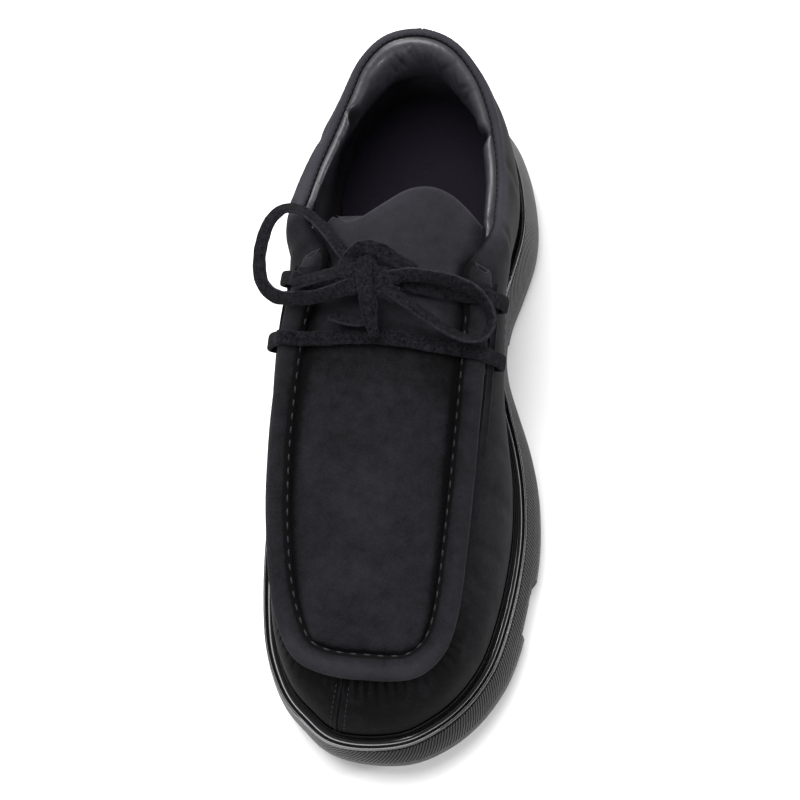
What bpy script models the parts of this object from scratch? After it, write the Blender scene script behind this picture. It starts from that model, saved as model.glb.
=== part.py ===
"""Left creeper shoe with a moccasin apron, a padded collar and a thick flared rubber sole.

Metres, +Z up. The toe points along -Y and the outer side of the foot is at +X.
Every form is read from one table of sections around the foot: the line where the
upper meets the sole, the line of its top edge, and the belly of the wall between.
"""

import math

import bmesh
import bpy
import numpy as np
from mathutils import Vector

# Last and upper
LAST_LENGTH = 0.284        # feather line, toe to heel
BALL_WIDTH = 0.098         # feather line across the ball of the foot
BACK_HEIGHT = 0.068        # top of the collar above the sole, at the back seam
WALL = 0.0022              # nubuck and its lining
COLLAR_PAD = 0.0075        # padded collar, at its thickest
COLLAR_DEPTH = 0.030       # how far down the padding reaches
CREST = 0.0042             # how far the collar's top edge rolls over inwards
MARGIN = 0.008             # lasting margin, turned in under the insole
THROAT_CROWN = 0.0100      # rise of the plug's middle at the throat
BALL_CROWN = 0.0036        # extra rise of the plug's middle over the toes

# Apron roll and facings
ROLL_WIDTH = 0.0098
ROLL_HEIGHT = 0.0052
FACING_WIDTH = 0.0050
FACING_THICKNESS = 0.0013
HOLE_DIAMETER = 0.0056
HOLE_FROM_SEAM = 0.0138    # lace hole's centre, down the wall from the roll's middle

# Tongue
TONGUE_THICKNESS = 0.0036
TONGUE_REACH = 0.0300      # past the ends of the roll, at its highest hump

# Sole
HEEL_SEAT = 0.038          # top of the sole under the heel
BALL_SEAT = 0.0275         # top of the sole under the ball
TOE_LIFT = 0.0068          # extra rise of that top at the toe
TOE_SPRING = 0.0100        # rise of the tread at the toe
WELT_WIDTH = 0.0064         # round the forefoot
WELT_HEEL_WIDTH = 0.0036    # round the heel, where the upper covers more of it
WELT_HEIGHT = 0.0058
WELT_GROOVE = 0.0013
WELT_SEAT = 0.0064         # how far the welt reaches in under the upper
FLARE_LATERAL = 0.0062     # how far the side swells past the welt
FLARE_MEDIAL = 0.0016
FLARE_HEEL = 0.0060
FLARE_WAIST = 0.0034
ARCH_HEIGHT = 0.0130
ARCH_FROM = 0.0120         # front edge of the arch gap, from the middle of the shoe
ARCH_TO = 0.0420           # heel breast
LUG_PITCH = 0.0220
LUG_GROOVE = 0.0042
LUG_DEPTH = 0.0038
LUG_REACH = 0.0200         # length of each groove, in from the edge
STEP_DEPTH = 0.0020        # recess in the lateral side between two blocks of lugs
STEP_FROM = -0.0890
STEP_TO = -0.0670
STEP_HEIGHT = 0.0170
INSOLE_THICKNESS = 0.0030
INSOLE_INSET = 0.0018      # from the inner face of the wall
INSOLE_TOE_INSET = 0.0034

# Lace
LACE_WIDTH = 0.0060
LACE_THICKNESS = 0.0026
LACE_TUBE = 0.0036         # round stand-in for the thong where it lies free

# Bow: middle of the knot, its half sizes and the routes of loops and ends, chosen by hand, in mm
MM = 0.001
BOW = ("knot", "bow_medial", "bow_lateral", "lace_end_medial", "lace_end_lateral")
KNOT_AT = (-13.0, 29.0, 116.2)
KNOT_HALF = (8.5, 9.5, 3.5)
MEDIAL_LOOP = ((-20.6, 37.2, 116.2), (-27.5, 45.0, 113.0), (-34.5, 53.0, 109.0), (-42.5, 59.5, 105.5),
               (-50.5, 61.5, 102.0), (-56.5, 57.0, 99.5), (-59.3, 48.0, 97.5), (-59.5, 38.5, 96.5),
               (-57.0, 30.0, 97.2), (-51.0, 24.5, 99.0), (-42.0, 22.5, 104.0), (-31.0, 22.0, 111.0),
               (-21.6, 24.2, 116.2))
LATERAL_LOOP = ((-3.6, 30.5, 116.2), (5.0, 32.0, 116.4), (15.0, 32.4, 114.2), (24.0, 32.0, 110.4),
                (31.5, 29.5, 106.7), (36.6, 24.5, 103.0), (38.0, 18.5, 101.0), (35.2, 13.2, 100.4),
                (29.0, 11.6, 101.8), (21.5, 13.2, 105.0), (13.0, 16.6, 109.6), (5.0, 20.6, 113.6),
                (-4.0, 25.2, 116.2))
MEDIAL_END = ((-22.4, 30.8, 116.2), (-28.5, 30.0, 114.6), (-35.0, 28.8, 111.5), (-41.5, 27.2, 108.8))
LATERAL_END = ((-9.6, 18.6, 116.2), (-6.2, 15.2, 113.6), (-8.6, 13.4, 109.8), (-16.0, 14.2, 107.2),
               (-24.5, 16.4, 105.0))

CLEARANCE = 0.0003
UP = np.array([0.0, 0.0, 1.0])

# Sections from the toe to the heel, a row each.
# foot_along and top_along are shares of LAST_LENGTH from the toe, foot_out, top_out and the
# bellies are shares of BALL_WIDTH from the axis, and top_rise is a share of BACK_HEIGHT.
COLUMNS = ("foot_along", "foot_out", "top_along", "top_out", "top_rise", "low_belly", "high_belly")
TOE = (0.000, -0.020, 0.083, -0.020, 0.390, 0.020, 0.120)
HEEL = (1.000, -0.010, 1.002, -0.020, 1.000, 0.040, 0.030)
LATERAL = (
    (0.010, 0.133, 0.084, 0.082, 0.394, 0.020, 0.120),
    (0.035, 0.250, 0.090, 0.163, 0.410, 0.020, 0.120),
    (0.065, 0.337, 0.106, 0.224, 0.437, 0.025, 0.125),
    (0.099, 0.401, 0.130, 0.265, 0.462, 0.030, 0.130),
    (0.137, 0.447, 0.166, 0.286, 0.490, 0.030, 0.135),
    (0.194, 0.483, 0.215, 0.296, 0.535, 0.030, 0.140),
    (0.257, 0.506, 0.271, 0.301, 0.588, 0.030, 0.145),
    (0.320, 0.512, 0.335, 0.306, 0.640, 0.030, 0.150),
    (0.387, 0.493, 0.398, 0.309, 0.706, 0.035, 0.150),
    (0.447, 0.454, 0.461, 0.312, 0.787, 0.040, 0.150),
    (0.503, 0.402, 0.525, 0.316, 0.865, 0.060, 0.155),
    (0.560, 0.360, 0.585, 0.318, 0.907, 0.075, 0.170),
    (0.613, 0.345, 0.641, 0.311, 0.928, 0.080, 0.175),
    (0.666, 0.352, 0.708, 0.378, 0.837, 0.070, 0.090),
    (0.718, 0.384, 0.754, 0.383, 0.740, 0.055, 0.060),
    (0.778, 0.414, 0.806, 0.376, 0.713, 0.045, 0.050),
    (0.828, 0.408, 0.856, 0.352, 0.750, 0.040, 0.040),
    (0.887, 0.365, 0.908, 0.306, 0.824, 0.035, 0.035),
    (0.940, 0.286, 0.952, 0.235, 0.904, 0.040, 0.030),
    (0.982, 0.153, 0.988, 0.122, 0.978, 0.040, 0.030),
)
MEDIAL = (
    (0.005, 0.153, 0.083, 0.122, 0.392, 0.020, 0.115),
    (0.030, 0.255, 0.088, 0.214, 0.406, 0.020, 0.110),
    (0.056, 0.332, 0.100, 0.286, 0.432, 0.020, 0.100),
    (0.092, 0.391, 0.127, 0.337, 0.460, 0.020, 0.095),
    (0.134, 0.434, 0.162, 0.378, 0.490, 0.020, 0.085),
    (0.190, 0.462, 0.211, 0.413, 0.535, 0.020, 0.075),
    (0.254, 0.480, 0.271, 0.439, 0.588, 0.025, 0.070),
    (0.317, 0.486, 0.335, 0.454, 0.640, 0.025, 0.070),
    (0.380, 0.480, 0.398, 0.459, 0.706, 0.030, 0.080),
    (0.444, 0.457, 0.461, 0.454, 0.787, 0.040, 0.110),
    (0.503, 0.418, 0.525, 0.444, 0.865, 0.050, 0.150),
    (0.560, 0.383, 0.585, 0.418, 0.912, 0.060, 0.210),
    (0.613, 0.360, 0.643, 0.372, 0.935, 0.060, 0.280),
    (0.666, 0.353, 0.712, 0.480, 0.830, 0.060, 0.150),
    (0.715, 0.365, 0.757, 0.474, 0.743, 0.060, 0.150),
    (0.771, 0.391, 0.806, 0.444, 0.728, 0.055, 0.120),
    (0.820, 0.401, 0.856, 0.393, 0.765, 0.045, 0.090),
    (0.880, 0.372, 0.905, 0.342, 0.830, 0.040, 0.055),
    (0.937, 0.301, 0.956, 0.281, 0.912, 0.040, 0.040),
    (0.982, 0.173, 0.991, 0.173, 0.978, 0.040, 0.030),
)

# Places around the foot, counted in rows from the heel along the lateral side
ROWS = 2 * len(LATERAL) + 2
TOE_ROW = ROWS // 2
BEAD = 13                  # the roll's end and the top of the throat
COLLAR_FRONT = 14
PLUG_END = 11              # the plug meets the tongue under the lower lace bar
TOE_CORNER = 3
UPPER_HOLE = 12.45
LOWER_HOLE = 11.15
FACING_END = 10.3
COLUMNS_PER_ROW = 2


def around(row, side):
    """Place on the closed table of a row of one side: +1 lateral, -1 medial."""
    return TOE_ROW - side * row


def section_table():
    """All rows in one closed loop from the heel, with signed outs."""
    rows = [HEEL] + list(reversed(LATERAL)) + [TOE]
    table = [dict(zip(COLUMNS, row)) for row in rows]
    for row in MEDIAL:
        named = dict(zip(COLUMNS, row))
        named["foot_out"] = -named["foot_out"]
        named["top_out"] = -named["top_out"]
        table.append(named)
    return np.array([[named[key] for key in COLUMNS] for named in table])


SECTIONS = section_table()


def section(place):
    """Smooth closed curve through the sections, at any place between rows."""
    start = math.floor(place)
    t = place - start
    a, b, c, d = (SECTIONS[(start + k) % ROWS] for k in (-1, 0, 1, 2))
    values = 0.5 * (2 * b + (c - a) * t + (2 * a - 5 * b + 4 * c - d) * t**2 + (3 * b - a - 3 * c + d) * t**3)
    return dict(zip(COLUMNS, values))


def smooth(x):
    x = min(max(x, 0.0), 1.0)
    return x * x * (3 - 2 * x)


def along(share):
    """World y of a share of the last's length from the toe."""
    return (share - 0.5) * LAST_LENGTH + 0.001


def seat(y):
    """Height of the sole's top, where the feather line runs."""
    heel = (HEEL_SEAT - BALL_SEAT) * smooth((y / LAST_LENGTH + 0.035) / 0.265)
    toe = max(0.0, (-0.215 - y / LAST_LENGTH) / 0.28)
    return BALL_SEAT + heel + TOE_LIFT * toe**2


def tread(y):
    """Height of the tread, with its toe spring."""
    toe = max(0.0, (-0.310 - y / LAST_LENGTH) / 0.22)
    return TOE_SPRING * toe**2


def split(y):
    """Height of the line between outsole and midsole."""
    return tread(y) + 0.48 * (seat(y) - tread(y))


def foot(place):
    values = section(place)
    y = along(values["foot_along"])
    return np.array([values["foot_out"] * BALL_WIDTH, y, seat(y)])


def top(place):
    values = section(place)
    base = foot(place)
    return np.array([values["top_out"] * BALL_WIDTH, along(values["top_along"]),
                     base[2] + values["top_rise"] * BACK_HEIGHT])


def outward(curve, place):
    """Level direction square to a curve around the shoe, pointing away from the foot."""
    step = 0.05
    run = curve(place + step) - curve(place - step)
    side = np.array([-run[1], run[0], 0.0])
    return side / np.linalg.norm(side)


def collar_share(place):
    """1 along the padded collar, 0 along the apron, smooth across the throat's top corners."""
    row = abs(TOE_ROW - place % ROWS)
    return smooth((row - BEAD) / (COLLAR_FRONT + 0.6 - BEAD))


def wall_curve(place):
    """The four control points of the wall from the feather line to the top edge."""
    values = section(place)
    low, high = foot(place), top(place)
    rise = (high[2] - low[2]) * UP
    leaning = outward(top, place) * values["high_belly"] * BALL_WIDTH
    belly = outward(foot, place) * values["low_belly"] * BALL_WIDTH
    return low + UP * CLEARANCE, low + 0.42 * rise + belly, high + leaning - 0.2 * rise, high


def skin(place, level):
    """Point of the upper's outer face: 0 to 1 up the wall, 1 to 2 over its top edge."""
    a, b, c, d = wall_curve(place)
    if level <= 1.0:
        t, s = level, 1.0 - level
        return s**3 * a + 3 * s * s * t * b + 3 * s * t * t * c + t**3 * d
    over = level - 1.0
    pad = collar_share(place)
    reach = (1 - pad) * ROLL_WIDTH / 2 + pad * CREST
    rise = (1 - pad) * 0.12 * ROLL_WIDTH * over - pad * 0.62 * CREST * over**2
    return d - outward(top, place) * reach * over + UP * rise


def skin_at(place, distance):
    """Point of the outer face at a distance in metres from the seam, + inwards, - down the wall."""
    if distance >= 0:
        return skin(place, 1.0 + 2 * distance / ROLL_WIDTH)
    _, _, c, d = wall_curve(place)
    return skin(place, 1.0 + distance / (3 * np.linalg.norm(d - c)) * 1.12)


def seam_normal(place, distance=0.0):
    """Direction square to the outer face near the seam."""
    step = 0.0012
    across = skin_at(place, distance + step) - skin_at(place, distance - step)
    run = skin_at(place + 0.05, distance) - skin_at(place - 0.05, distance)
    normal = np.cross(across, run)
    return normal / np.linalg.norm(normal)


def material(name, color, roughness, metallic=0.0):
    made = bpy.data.materials.new(name)
    made.use_nodes = True
    shader = made.node_tree.nodes["Principled BSDF"]
    shader.inputs["Base Color"].default_value = (*color, 1.0)
    shader.inputs["Roughness"].default_value = roughness
    shader.inputs["Metallic"].default_value = metallic
    return made


def add_object(name, points, faces, finish):
    mesh = bpy.data.meshes.new(name)
    mesh.from_pydata([tuple(p) for p in points], [], faces)
    work = bmesh.new()
    work.from_mesh(mesh)
    bmesh.ops.recalc_face_normals(work, faces=work.faces)
    work.to_mesh(mesh)
    work.free()
    mesh.materials.append(finish)
    mesh.shade_smooth()
    mesh.set_sharp_from_angle(angle=math.radians(38))
    made = bpy.data.objects.new(name, mesh)
    bpy.context.collection.objects.link(made)
    return made


def sheet_solid(name, points, faces, thickness, finish):
    """Closed solid between an outer sheet and its copy moved in by each point's thickness."""
    mesh = bpy.data.meshes.new(name + "_sheet")
    mesh.from_pydata([tuple(p) for p in points], [], faces)
    work = bmesh.new()
    work.from_mesh(mesh)
    work.normal_update()
    work.verts.ensure_lookup_table()
    count = len(points)
    inner = [np.array(v.co) - np.array(v.normal) * thickness[v.index] for v in work.verts]
    rim = [[loop.vert.index for loop in edge.link_loops[0].face.loops
            if loop.edge == edge or loop.link_loop_prev.edge == edge] for edge in work.edges if edge.is_boundary]
    solid_faces = [tuple(f) for f in faces] + [tuple(i + count for i in reversed(f)) for f in faces]
    for a, b in rim:
        solid_faces.append((a, b, b + count, a + count))
    work.free()
    bpy.data.meshes.remove(mesh)
    return add_object(name, list(points) + inner, solid_faces, finish)


def loft(name, rings, finish):
    """Closed solid through level rings that run heel, lateral side, toe, medial side."""
    count = len(rings[0])
    points = [p for ring in rings for p in ring]
    faces = []
    for k in range(len(rings) - 1):
        for i in range(count):
            j = (i + 1) % count
            faces.append((k * count + i, k * count + j, (k + 1) * count + j, (k + 1) * count + i))
    for k in (0, len(rings) - 1):
        for i in range(count // 2):
            strip = [i, i + 1, (count - i - 1) % count, (count - i) % count]
            kept = list(dict.fromkeys(strip))
            faces.append(tuple(k * count + v for v in kept))
    return add_object(name, points, faces, finish)


def sweep(name, sections, finish, closed=False):
    """Solid through equal closed sections, capped at both ends or joined into a ring."""
    size, runs = len(sections[0]), len(sections)
    points = [p for ring in sections for p in ring]
    faces = []
    for k in range(runs if closed else runs - 1):
        n = (k + 1) % runs
        for i in range(size):
            j = (i + 1) % size
            faces.append((k * size + i, k * size + j, n * size + j, n * size + i))
    if not closed:
        faces.append(tuple(range(size)))
        faces.append(tuple(range((runs - 1) * size, runs * size)))
    return add_object(name, points, faces, finish)


def cut(target, cutter):
    """Take a guide solid out of a piece."""
    cutter.hide_render = True
    cutter.display_type = "WIRE"
    knife = target.modifiers.new("cut_" + cutter.name, "BOOLEAN")
    knife.operation = "DIFFERENCE"
    knife.solver = "EXACT"
    knife.object = cutter


def places_around():
    return [k / COLUMNS_PER_ROW for k in range(ROWS * COLUMNS_PER_ROW)]


def lift_with(points, height):
    return [np.array([p[0], p[1], height(p[1])]) for p in points]


def foot_ring(out, height):
    """Ring around the foot line moved outwards, at a height that follows the length."""
    points = []
    for place in places_around():
        shift = out(place) if callable(out) else out
        points.append(foot(place) + outward(foot, place) * shift)
    return lift_with(points, height)


def heel_share(place):
    """0 round the forefoot, 1 round the heel."""
    return smooth((foot(place)[1] / LAST_LENGTH + 0.02) / 0.16)


def rim(place):
    """Reach of the sole's top edge from the feather line, just inside the welt's edge."""
    return welt_width(place) - 0.0004


def welt_width(place):
    return WELT_WIDTH + (WELT_HEEL_WIDTH - WELT_WIDTH) * heel_share(place)


def flare(place):
    """Swelling of the sole's side past the welt: most outside, least inside and at the waist."""
    x, y = foot(place)[0] / (BALL_WIDTH / 2), foot(place)[1]
    lateral = smooth(0.5 + 0.9 * x)
    fore = FLARE_MEDIAL + (FLARE_LATERAL - FLARE_MEDIAL) * lateral
    swell = fore + (FLARE_HEEL - fore) * heel_share(place)
    waist = math.exp(-((y - 0.5 * (ARCH_FROM + ARCH_TO)) / ARCH_TO)**2)
    return swell + (FLARE_WAIST - swell) * waist


def make_outsole(finish):
    """Lower half of the sole: flared side, heel block, arch gap, toe spring and lugs."""
    rings = [
        foot_ring(lambda p: rim(p) + 0.45 * flare(p), tread),
        foot_ring(lambda p: rim(p) + 0.90 * flare(p), lambda y: tread(y) + 0.0035),
        foot_ring(lambda p: rim(p) + 1.00 * flare(p), lambda y: tread(y) + 0.0080),
        foot_ring(lambda p: rim(p) + 0.92 * flare(p), lambda y: split(y) - CLEARANCE / 2),
    ]
    sole = loft("outsole", rings, finish)
    cut(sole, arch_cutter())
    cut(sole, lug_cutter())
    cut(sole, step_cutter("outsole_step"))
    return sole


def step_cutter(name):
    """Shallow recess in the lateral side, with sloping ends, between two blocks of lugs."""
    def edge(y):
        place = min((p for p in places_around() if foot(p)[0] > 0), key=lambda p: abs(foot(p)[1] - y))
        side = foot(place) + outward(foot, place) * (rim(place) + flare(place))
        slope = outward(foot, place)
        return side[0] - (y - side[1]) * slope[1] / slope[0]
    slant = 1.6 * STEP_DEPTH
    plan = [(edge(STEP_FROM) + 0.001, STEP_FROM - slant), (edge(STEP_FROM) - STEP_DEPTH, STEP_FROM),
            (edge(STEP_TO) - STEP_DEPTH, STEP_TO), (edge(STEP_TO) + 0.001, STEP_TO + slant),
            (edge(STEP_TO) + BALL_WIDTH / 4, STEP_TO + slant), (edge(STEP_TO) + BALL_WIDTH / 4, STEP_FROM - slant)]
    sections = [[np.array([x, y, z]) for x, y in plan] for z in (-0.002, STEP_HEIGHT)]
    return sweep(name, sections, None)


def box_points(low, high):
    return [np.array([x, y, z]) for z in (low[2], high[2])
            for x, y in ((low[0], low[1]), (high[0], low[1]), (high[0], high[1]), (low[0], high[1]))]


BOX_FACES = [(0, 3, 2, 1), (4, 5, 6, 7), (0, 1, 5, 4), (1, 2, 6, 5), (2, 3, 7, 6), (3, 0, 4, 7)]


def arch_cutter():
    """Gap between the heel breast and the forefoot, with a hollowed roof."""
    steps = 6
    half = BALL_WIDTH
    profile = [(ARCH_FROM, -ARCH_HEIGHT)]
    for k in range(steps + 1):
        t = k / steps
        y = ARCH_FROM + 0.0015 + t * (ARCH_TO - ARCH_FROM - 0.003)
        profile.append((y, ARCH_HEIGHT * (0.80 + 0.20 * math.sin(math.pi * t))))
    profile.append((ARCH_TO, -ARCH_HEIGHT))
    sections = [[np.array([x, y, z]) for y, z in profile] for x in (-half, half)]
    return sweep("arch_gap", sections, None)


def lug_places():
    """Middles of the grooves along the tread, clear of the arch gap."""
    end = LAST_LENGTH / 2
    front = [ARCH_FROM - LUG_PITCH * (k + 0.8) for k in range(int((end + ARCH_FROM) / LUG_PITCH))]
    back = [ARCH_TO + LUG_PITCH * (k + 0.9) for k in range(int((end - ARCH_TO) / LUG_PITCH))]
    return front + back


def lug_cutter():
    """Slots across both edges of the tread that also notch the side."""
    points, faces = [], []
    for y in lug_places():
        nearest = min(places_around(), key=lambda p: abs(foot(p)[1] - y) + (0 if foot(p)[0] > 0 else 1))
        inside = min(places_around(), key=lambda p: abs(foot(p)[1] - y) + (0 if foot(p)[0] < 0 else 1))
        for place, side in ((nearest, 1), (inside, -1)):
            edge = foot(place)[0]
            low_x, high_x = sorted((edge - side * (LUG_REACH - WELT_WIDTH), edge + side * BALL_WIDTH / 2))
            base = len(points)
            points += box_points((low_x, y - LUG_GROOVE / 2, -LUG_DEPTH), (high_x, y + LUG_GROOVE / 2,
                                 tread(y) + LUG_DEPTH))
            faces += [tuple(base + i for i in f) for f in BOX_FACES]
    return add_object("lug_grooves", points, faces, None)


def make_midsole(finish):
    """Upper half of the sole, stepped in at its top to seat the welt."""
    welt_foot = lambda y: seat(y) - WELT_HEIGHT - CLEARANCE
    rings = [
        foot_ring(lambda p: rim(p) + 0.92 * flare(p), lambda y: split(y) + CLEARANCE / 2),
        foot_ring(lambda p: rim(p) + 0.60 * flare(p), lambda y: 0.5 * (split(y) + welt_foot(y))),
        foot_ring(lambda p: rim(p) + 0.10 * flare(p), welt_foot),
        foot_ring(-WELT_SEAT - CLEARANCE, welt_foot),
        foot_ring(-WELT_SEAT - CLEARANCE, seat),
    ]
    midsole = loft("midsole", rings, finish)
    cut(midsole, step_cutter("midsole_step"))
    return midsole


def make_welt(finish):
    """Rubber band around the upper: an inner ridge, a groove and an outer ridge."""
    # share of the visible width outwards, share of the height
    groove = 0.72 - WELT_GROOVE / WELT_HEIGHT
    profile = ((0.96, 0.0), (1.0, 0.40), (0.90, 0.74), (0.72, 0.72), (0.54, groove), (0.26, 1.0))
    rings = [foot_ring(-WELT_SEAT, lambda y: seat(y) - WELT_HEIGHT)]
    for share, rise in profile:
        rings.append(foot_ring(lambda p, s=share: s * welt_width(p),
                               lambda y, r=rise: seat(y) - WELT_HEIGHT * (1 - r)))
    rings.append(foot_ring(-WELT_SEAT, seat))
    sections = [[ring[i] for ring in rings] for i in range(len(rings[0]))]
    return sweep("welt", sections, finish, closed=True)


def make_insole(finish):
    """Plain footbed over the turned-in margin, further in at the toe, where the wall leans over it."""
    floor = WALL + 2.5 * CLEARANCE

    def inset(place, more=0.0):
        toe = smooth((-foot(place)[1] / LAST_LENGTH - 0.36) / 0.14)
        return -(WALL + INSOLE_INSET + INSOLE_TOE_INSET * toe + more)
    rings = [
        foot_ring(lambda p: inset(p, 0.0010), lambda y: seat(y) + floor),
        foot_ring(inset, lambda y: seat(y) + floor + 0.4 * INSOLE_THICKNESS),
        foot_ring(lambda p: inset(p, 0.0006), lambda y: seat(y) + floor + INSOLE_THICKNESS),
    ]
    return loft("insole", rings, finish)


WALL_LEVELS = (0.05, 0.16, 0.30, 0.45, 0.60, 0.74, 0.87, 1.0)
OVER_LEVELS = (1.5, 2.0)


def upper_thickness(place, level):
    """Wall thickness, swelling into the collar's padding near the top edge."""
    pad = collar_share(place)
    if level > 1.0:
        return WALL + pad * (0.35 * COLLAR_PAD - 0.15 * COLLAR_PAD * (level - 1.0)) * 0.5
    height = section(place)["top_rise"] * BACK_HEIGHT
    depth = (1.0 - level) * height
    swell = smooth(1.0 - depth / COLLAR_DEPTH) * (1.0 - 0.45 * smooth(1.0 - depth / (0.2 * COLLAR_DEPTH)))
    return WALL + pad * (COLLAR_PAD - WALL) * swell


def upper_sheet():
    """Outer face of the upper: margin, wall, top edge and the apron's plug, as points and faces."""
    places = places_around()
    points, thickness, faces = [], [], []
    for place in places:
        base, out = foot(place), outward(foot, place)
        turned_in = [base - out * MARGIN, base - out * MARGIN / 3]
        column = lift_with(turned_in, lambda y: seat(y) + CLEARANCE)
        column += [skin(place, level) for level in WALL_LEVELS + OVER_LEVELS]
        thickness += [WALL, WALL] + [upper_thickness(place, level) for level in WALL_LEVELS + OVER_LEVELS]
        points += column
    rows = 2 + len(WALL_LEVELS + OVER_LEVELS)
    for i in range(len(places)):
        j = (i + 1) % len(places)
        for k in range(rows - 1):
            faces.append((i * rows + k, i * rows + k + 1, j * rows + k + 1, j * rows + k))
    edge = lambda place: int(round(place * COLUMNS_PER_ROW)) * rows + rows - 1
    across = 2 * TOE_CORNER * COLUMNS_PER_ROW
    down = (PLUG_END - TOE_CORNER) * COLUMNS_PER_ROW
    step = 1.0 / COLUMNS_PER_ROW
    lateral = [edge(around(PLUG_END, 1) + k * step) for k in range(down + 1)]
    medial = [edge(around(PLUG_END, -1) - k * step) for k in range(down + 1)]
    toe = [edge(around(TOE_CORNER, 1) + k * step) for k in range(across + 1)]
    grid = plug_grid([points[i] for i in lateral], [points[i] for i in medial], [points[i] for i in toe])
    index = {}
    for u in range(across + 1):
        for s in range(down + 1):
            if u == 0:
                index[u, s] = lateral[s]
            elif u == across:
                index[u, s] = medial[s]
            elif s == down:
                index[u, s] = toe[u]
            else:
                index[u, s] = len(points)
                points.append(grid[u][s])
                thickness.append(WALL)
    for u in range(across):
        for s in range(down):
            faces.append((index[u, s], index[u + 1, s], index[u + 1, s + 1], index[u, s + 1]))
    return points, faces, thickness


def plug_grid(lateral, medial, toe):
    """Crowned patch between the two long sides and the toe arc of the stitch line."""
    across, down = len(toe) - 1, len(lateral) - 1
    throat = [lateral[0] + (medial[0] - lateral[0]) * u / across
              + UP * THROAT_CROWN * math.sin(math.pi * u / across) for u in range(across + 1)]
    grid = []
    for i in range(across + 1):
        u, line = i / across, []
        for j in range(down + 1):
            s = j / down
            ruled = (1 - s) * throat[i] + s * toe[i] + (1 - u) * lateral[j] + u * medial[j]
            corners = ((1 - u) * (1 - s) * lateral[0] + u * (1 - s) * medial[0]
                       + (1 - u) * s * toe[0] + u * s * toe[-1])
            crown = BALL_CROWN * math.sin(math.pi * u) * math.sin(math.pi * s**0.8)
            line.append(ruled - corners + UP * crown)
        grid.append(line)
    return grid


def hole_cutter(name, row, side):
    """Round punch through the quarter beside the facing."""
    place = around(row, side)
    centre = skin_at(place, -HOLE_FROM_SEAM)
    normal = seam_normal(place, -HOLE_FROM_SEAM)
    along_wall = np.cross(normal, UP)
    along_wall /= np.linalg.norm(along_wall)
    other = np.cross(normal, along_wall)
    sides = 14
    sections = []
    for depth in (-0.008, 0.004):
        ring = []
        for k in range(sides):
            angle = 2 * math.pi * k / sides
            ring.append(centre + normal * depth + HOLE_DIAMETER / 2 * (math.cos(angle) * along_wall
                        + math.sin(angle) * other))
        sections.append(ring)
    return sweep(name, sections, None)


def make_upper(finish):
    points, faces, thickness = upper_sheet()
    upper = sheet_solid("upper", points, faces, thickness, finish)
    for name, row in (("upper_hole", UPPER_HOLE), ("lower_hole", LOWER_HOLE)):
        for side_name, side in (("lateral", 1), ("medial", -1)):
            cut(upper, hole_cutter(f"{name}_{side_name}", row, side))
    return upper


# Ends of the roll: distance from the end as a share of ROLL_WIDTH, size of the section there
BEAD_PROFILE = ((0.00, 0.45), (0.08, 0.80), (0.25, 1.02), (0.60, 1.10), (0.92, 1.04), (1.02, 0.84), (1.14, 0.98))


def roll_stops():
    """Places along the roll with the size of its section, from the lateral to the medial bead."""
    run = np.linalg.norm(top(around(BEAD, 1) + 0.5) - top(around(BEAD, 1))) * 2
    first, last = around(BEAD, 1), around(BEAD, -1)
    ends = [(distance * ROLL_WIDTH / run, size) for distance, size in BEAD_PROFILE]
    middle = [(first + k / COLUMNS_PER_ROW, 1.0) for k in range(2, int(last - first) * COLUMNS_PER_ROW - 1)]
    return ([(first + d, size) for d, size in ends] + middle
            + [(last - d, size) for d, size in reversed(ends)])


def make_roll(finish):
    """Raised padded roll over the seam between wall and plug, round the toe from bead to bead."""
    steps = 6
    sections = []
    for place, size in roll_stops():
        half, up = size * ROLL_WIDTH / 2, seam_normal(place)
        under, over = [], []
        for k in range(steps + 1):
            q = -math.cos(math.pi * k / steps)
            base = skin_at(place, q * half) + seam_normal(place, q * half) * CLEARANCE
            under.append(base)
            if 0 < k < steps:
                over.append(base + up * size * ROLL_HEIGHT * math.sqrt(1 - q * q))
        sections.append(under + list(reversed(over)))
    return sweep("apron_roll", sections, finish)


def make_facing(name, side, finish):
    """Narrow strip on the quarter along the outer foot of the roll."""
    start = ROLL_WIDTH / 2 + 2 * CLEARANCE
    stops = 9
    sections = []
    for k in range(stops + 1):
        place = around(BEAD + (FACING_END - BEAD) * k / stops, side)
        low, high = [], []
        for share in (0.0, 0.5, 1.0):
            distance = -start - share * FACING_WIDTH
            normal = seam_normal(place, distance)
            base = skin_at(place, distance) + normal * CLEARANCE
            low.append(base)
            high.append(base + normal * FACING_THICKNESS * (1.0 if share == 0.5 else 0.85))
        sections.append(low + list(reversed(high)))
    return sweep(name, sections, finish)


def throat_curve(side):
    """The upper's inner edge beside the tongue, as points in order of length."""
    rows = [PLUG_END - 0.2 + 0.1 * k for k in range(int((COLLAR_FRONT + 1.2 - PLUG_END) * 10))]
    return np.array([skin(around(row, side), 2.0) for row in rows])


def throat_edge(y, side):
    curve = throat_curve(side)
    return np.array([np.interp(y, curve[:, 1], curve[:, axis]) for axis in range(3)])


# Tongue, a row across each: share of the way from the plug to the top edge, width as a share of
# the throat, fall of the edges below the throat's edge as a share of BACK_HEIGHT and crown as a
# share of THROAT_CROWN
TONGUE_ROWS = (
    (0.00, 1.00, 0.000, 1.00),
    (0.14, 1.00, 0.000, 1.03),
    (0.28, 1.00, 0.000, 1.06),
    (0.42, 1.00, 0.000, 1.10),
    (0.56, 1.00, 0.010, 1.25),
    (0.70, 0.96, 0.018, 1.45),
    (0.85, 0.97, 0.010, 1.60),
    (1.00, 0.98, -0.020, 1.62),
)
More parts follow.
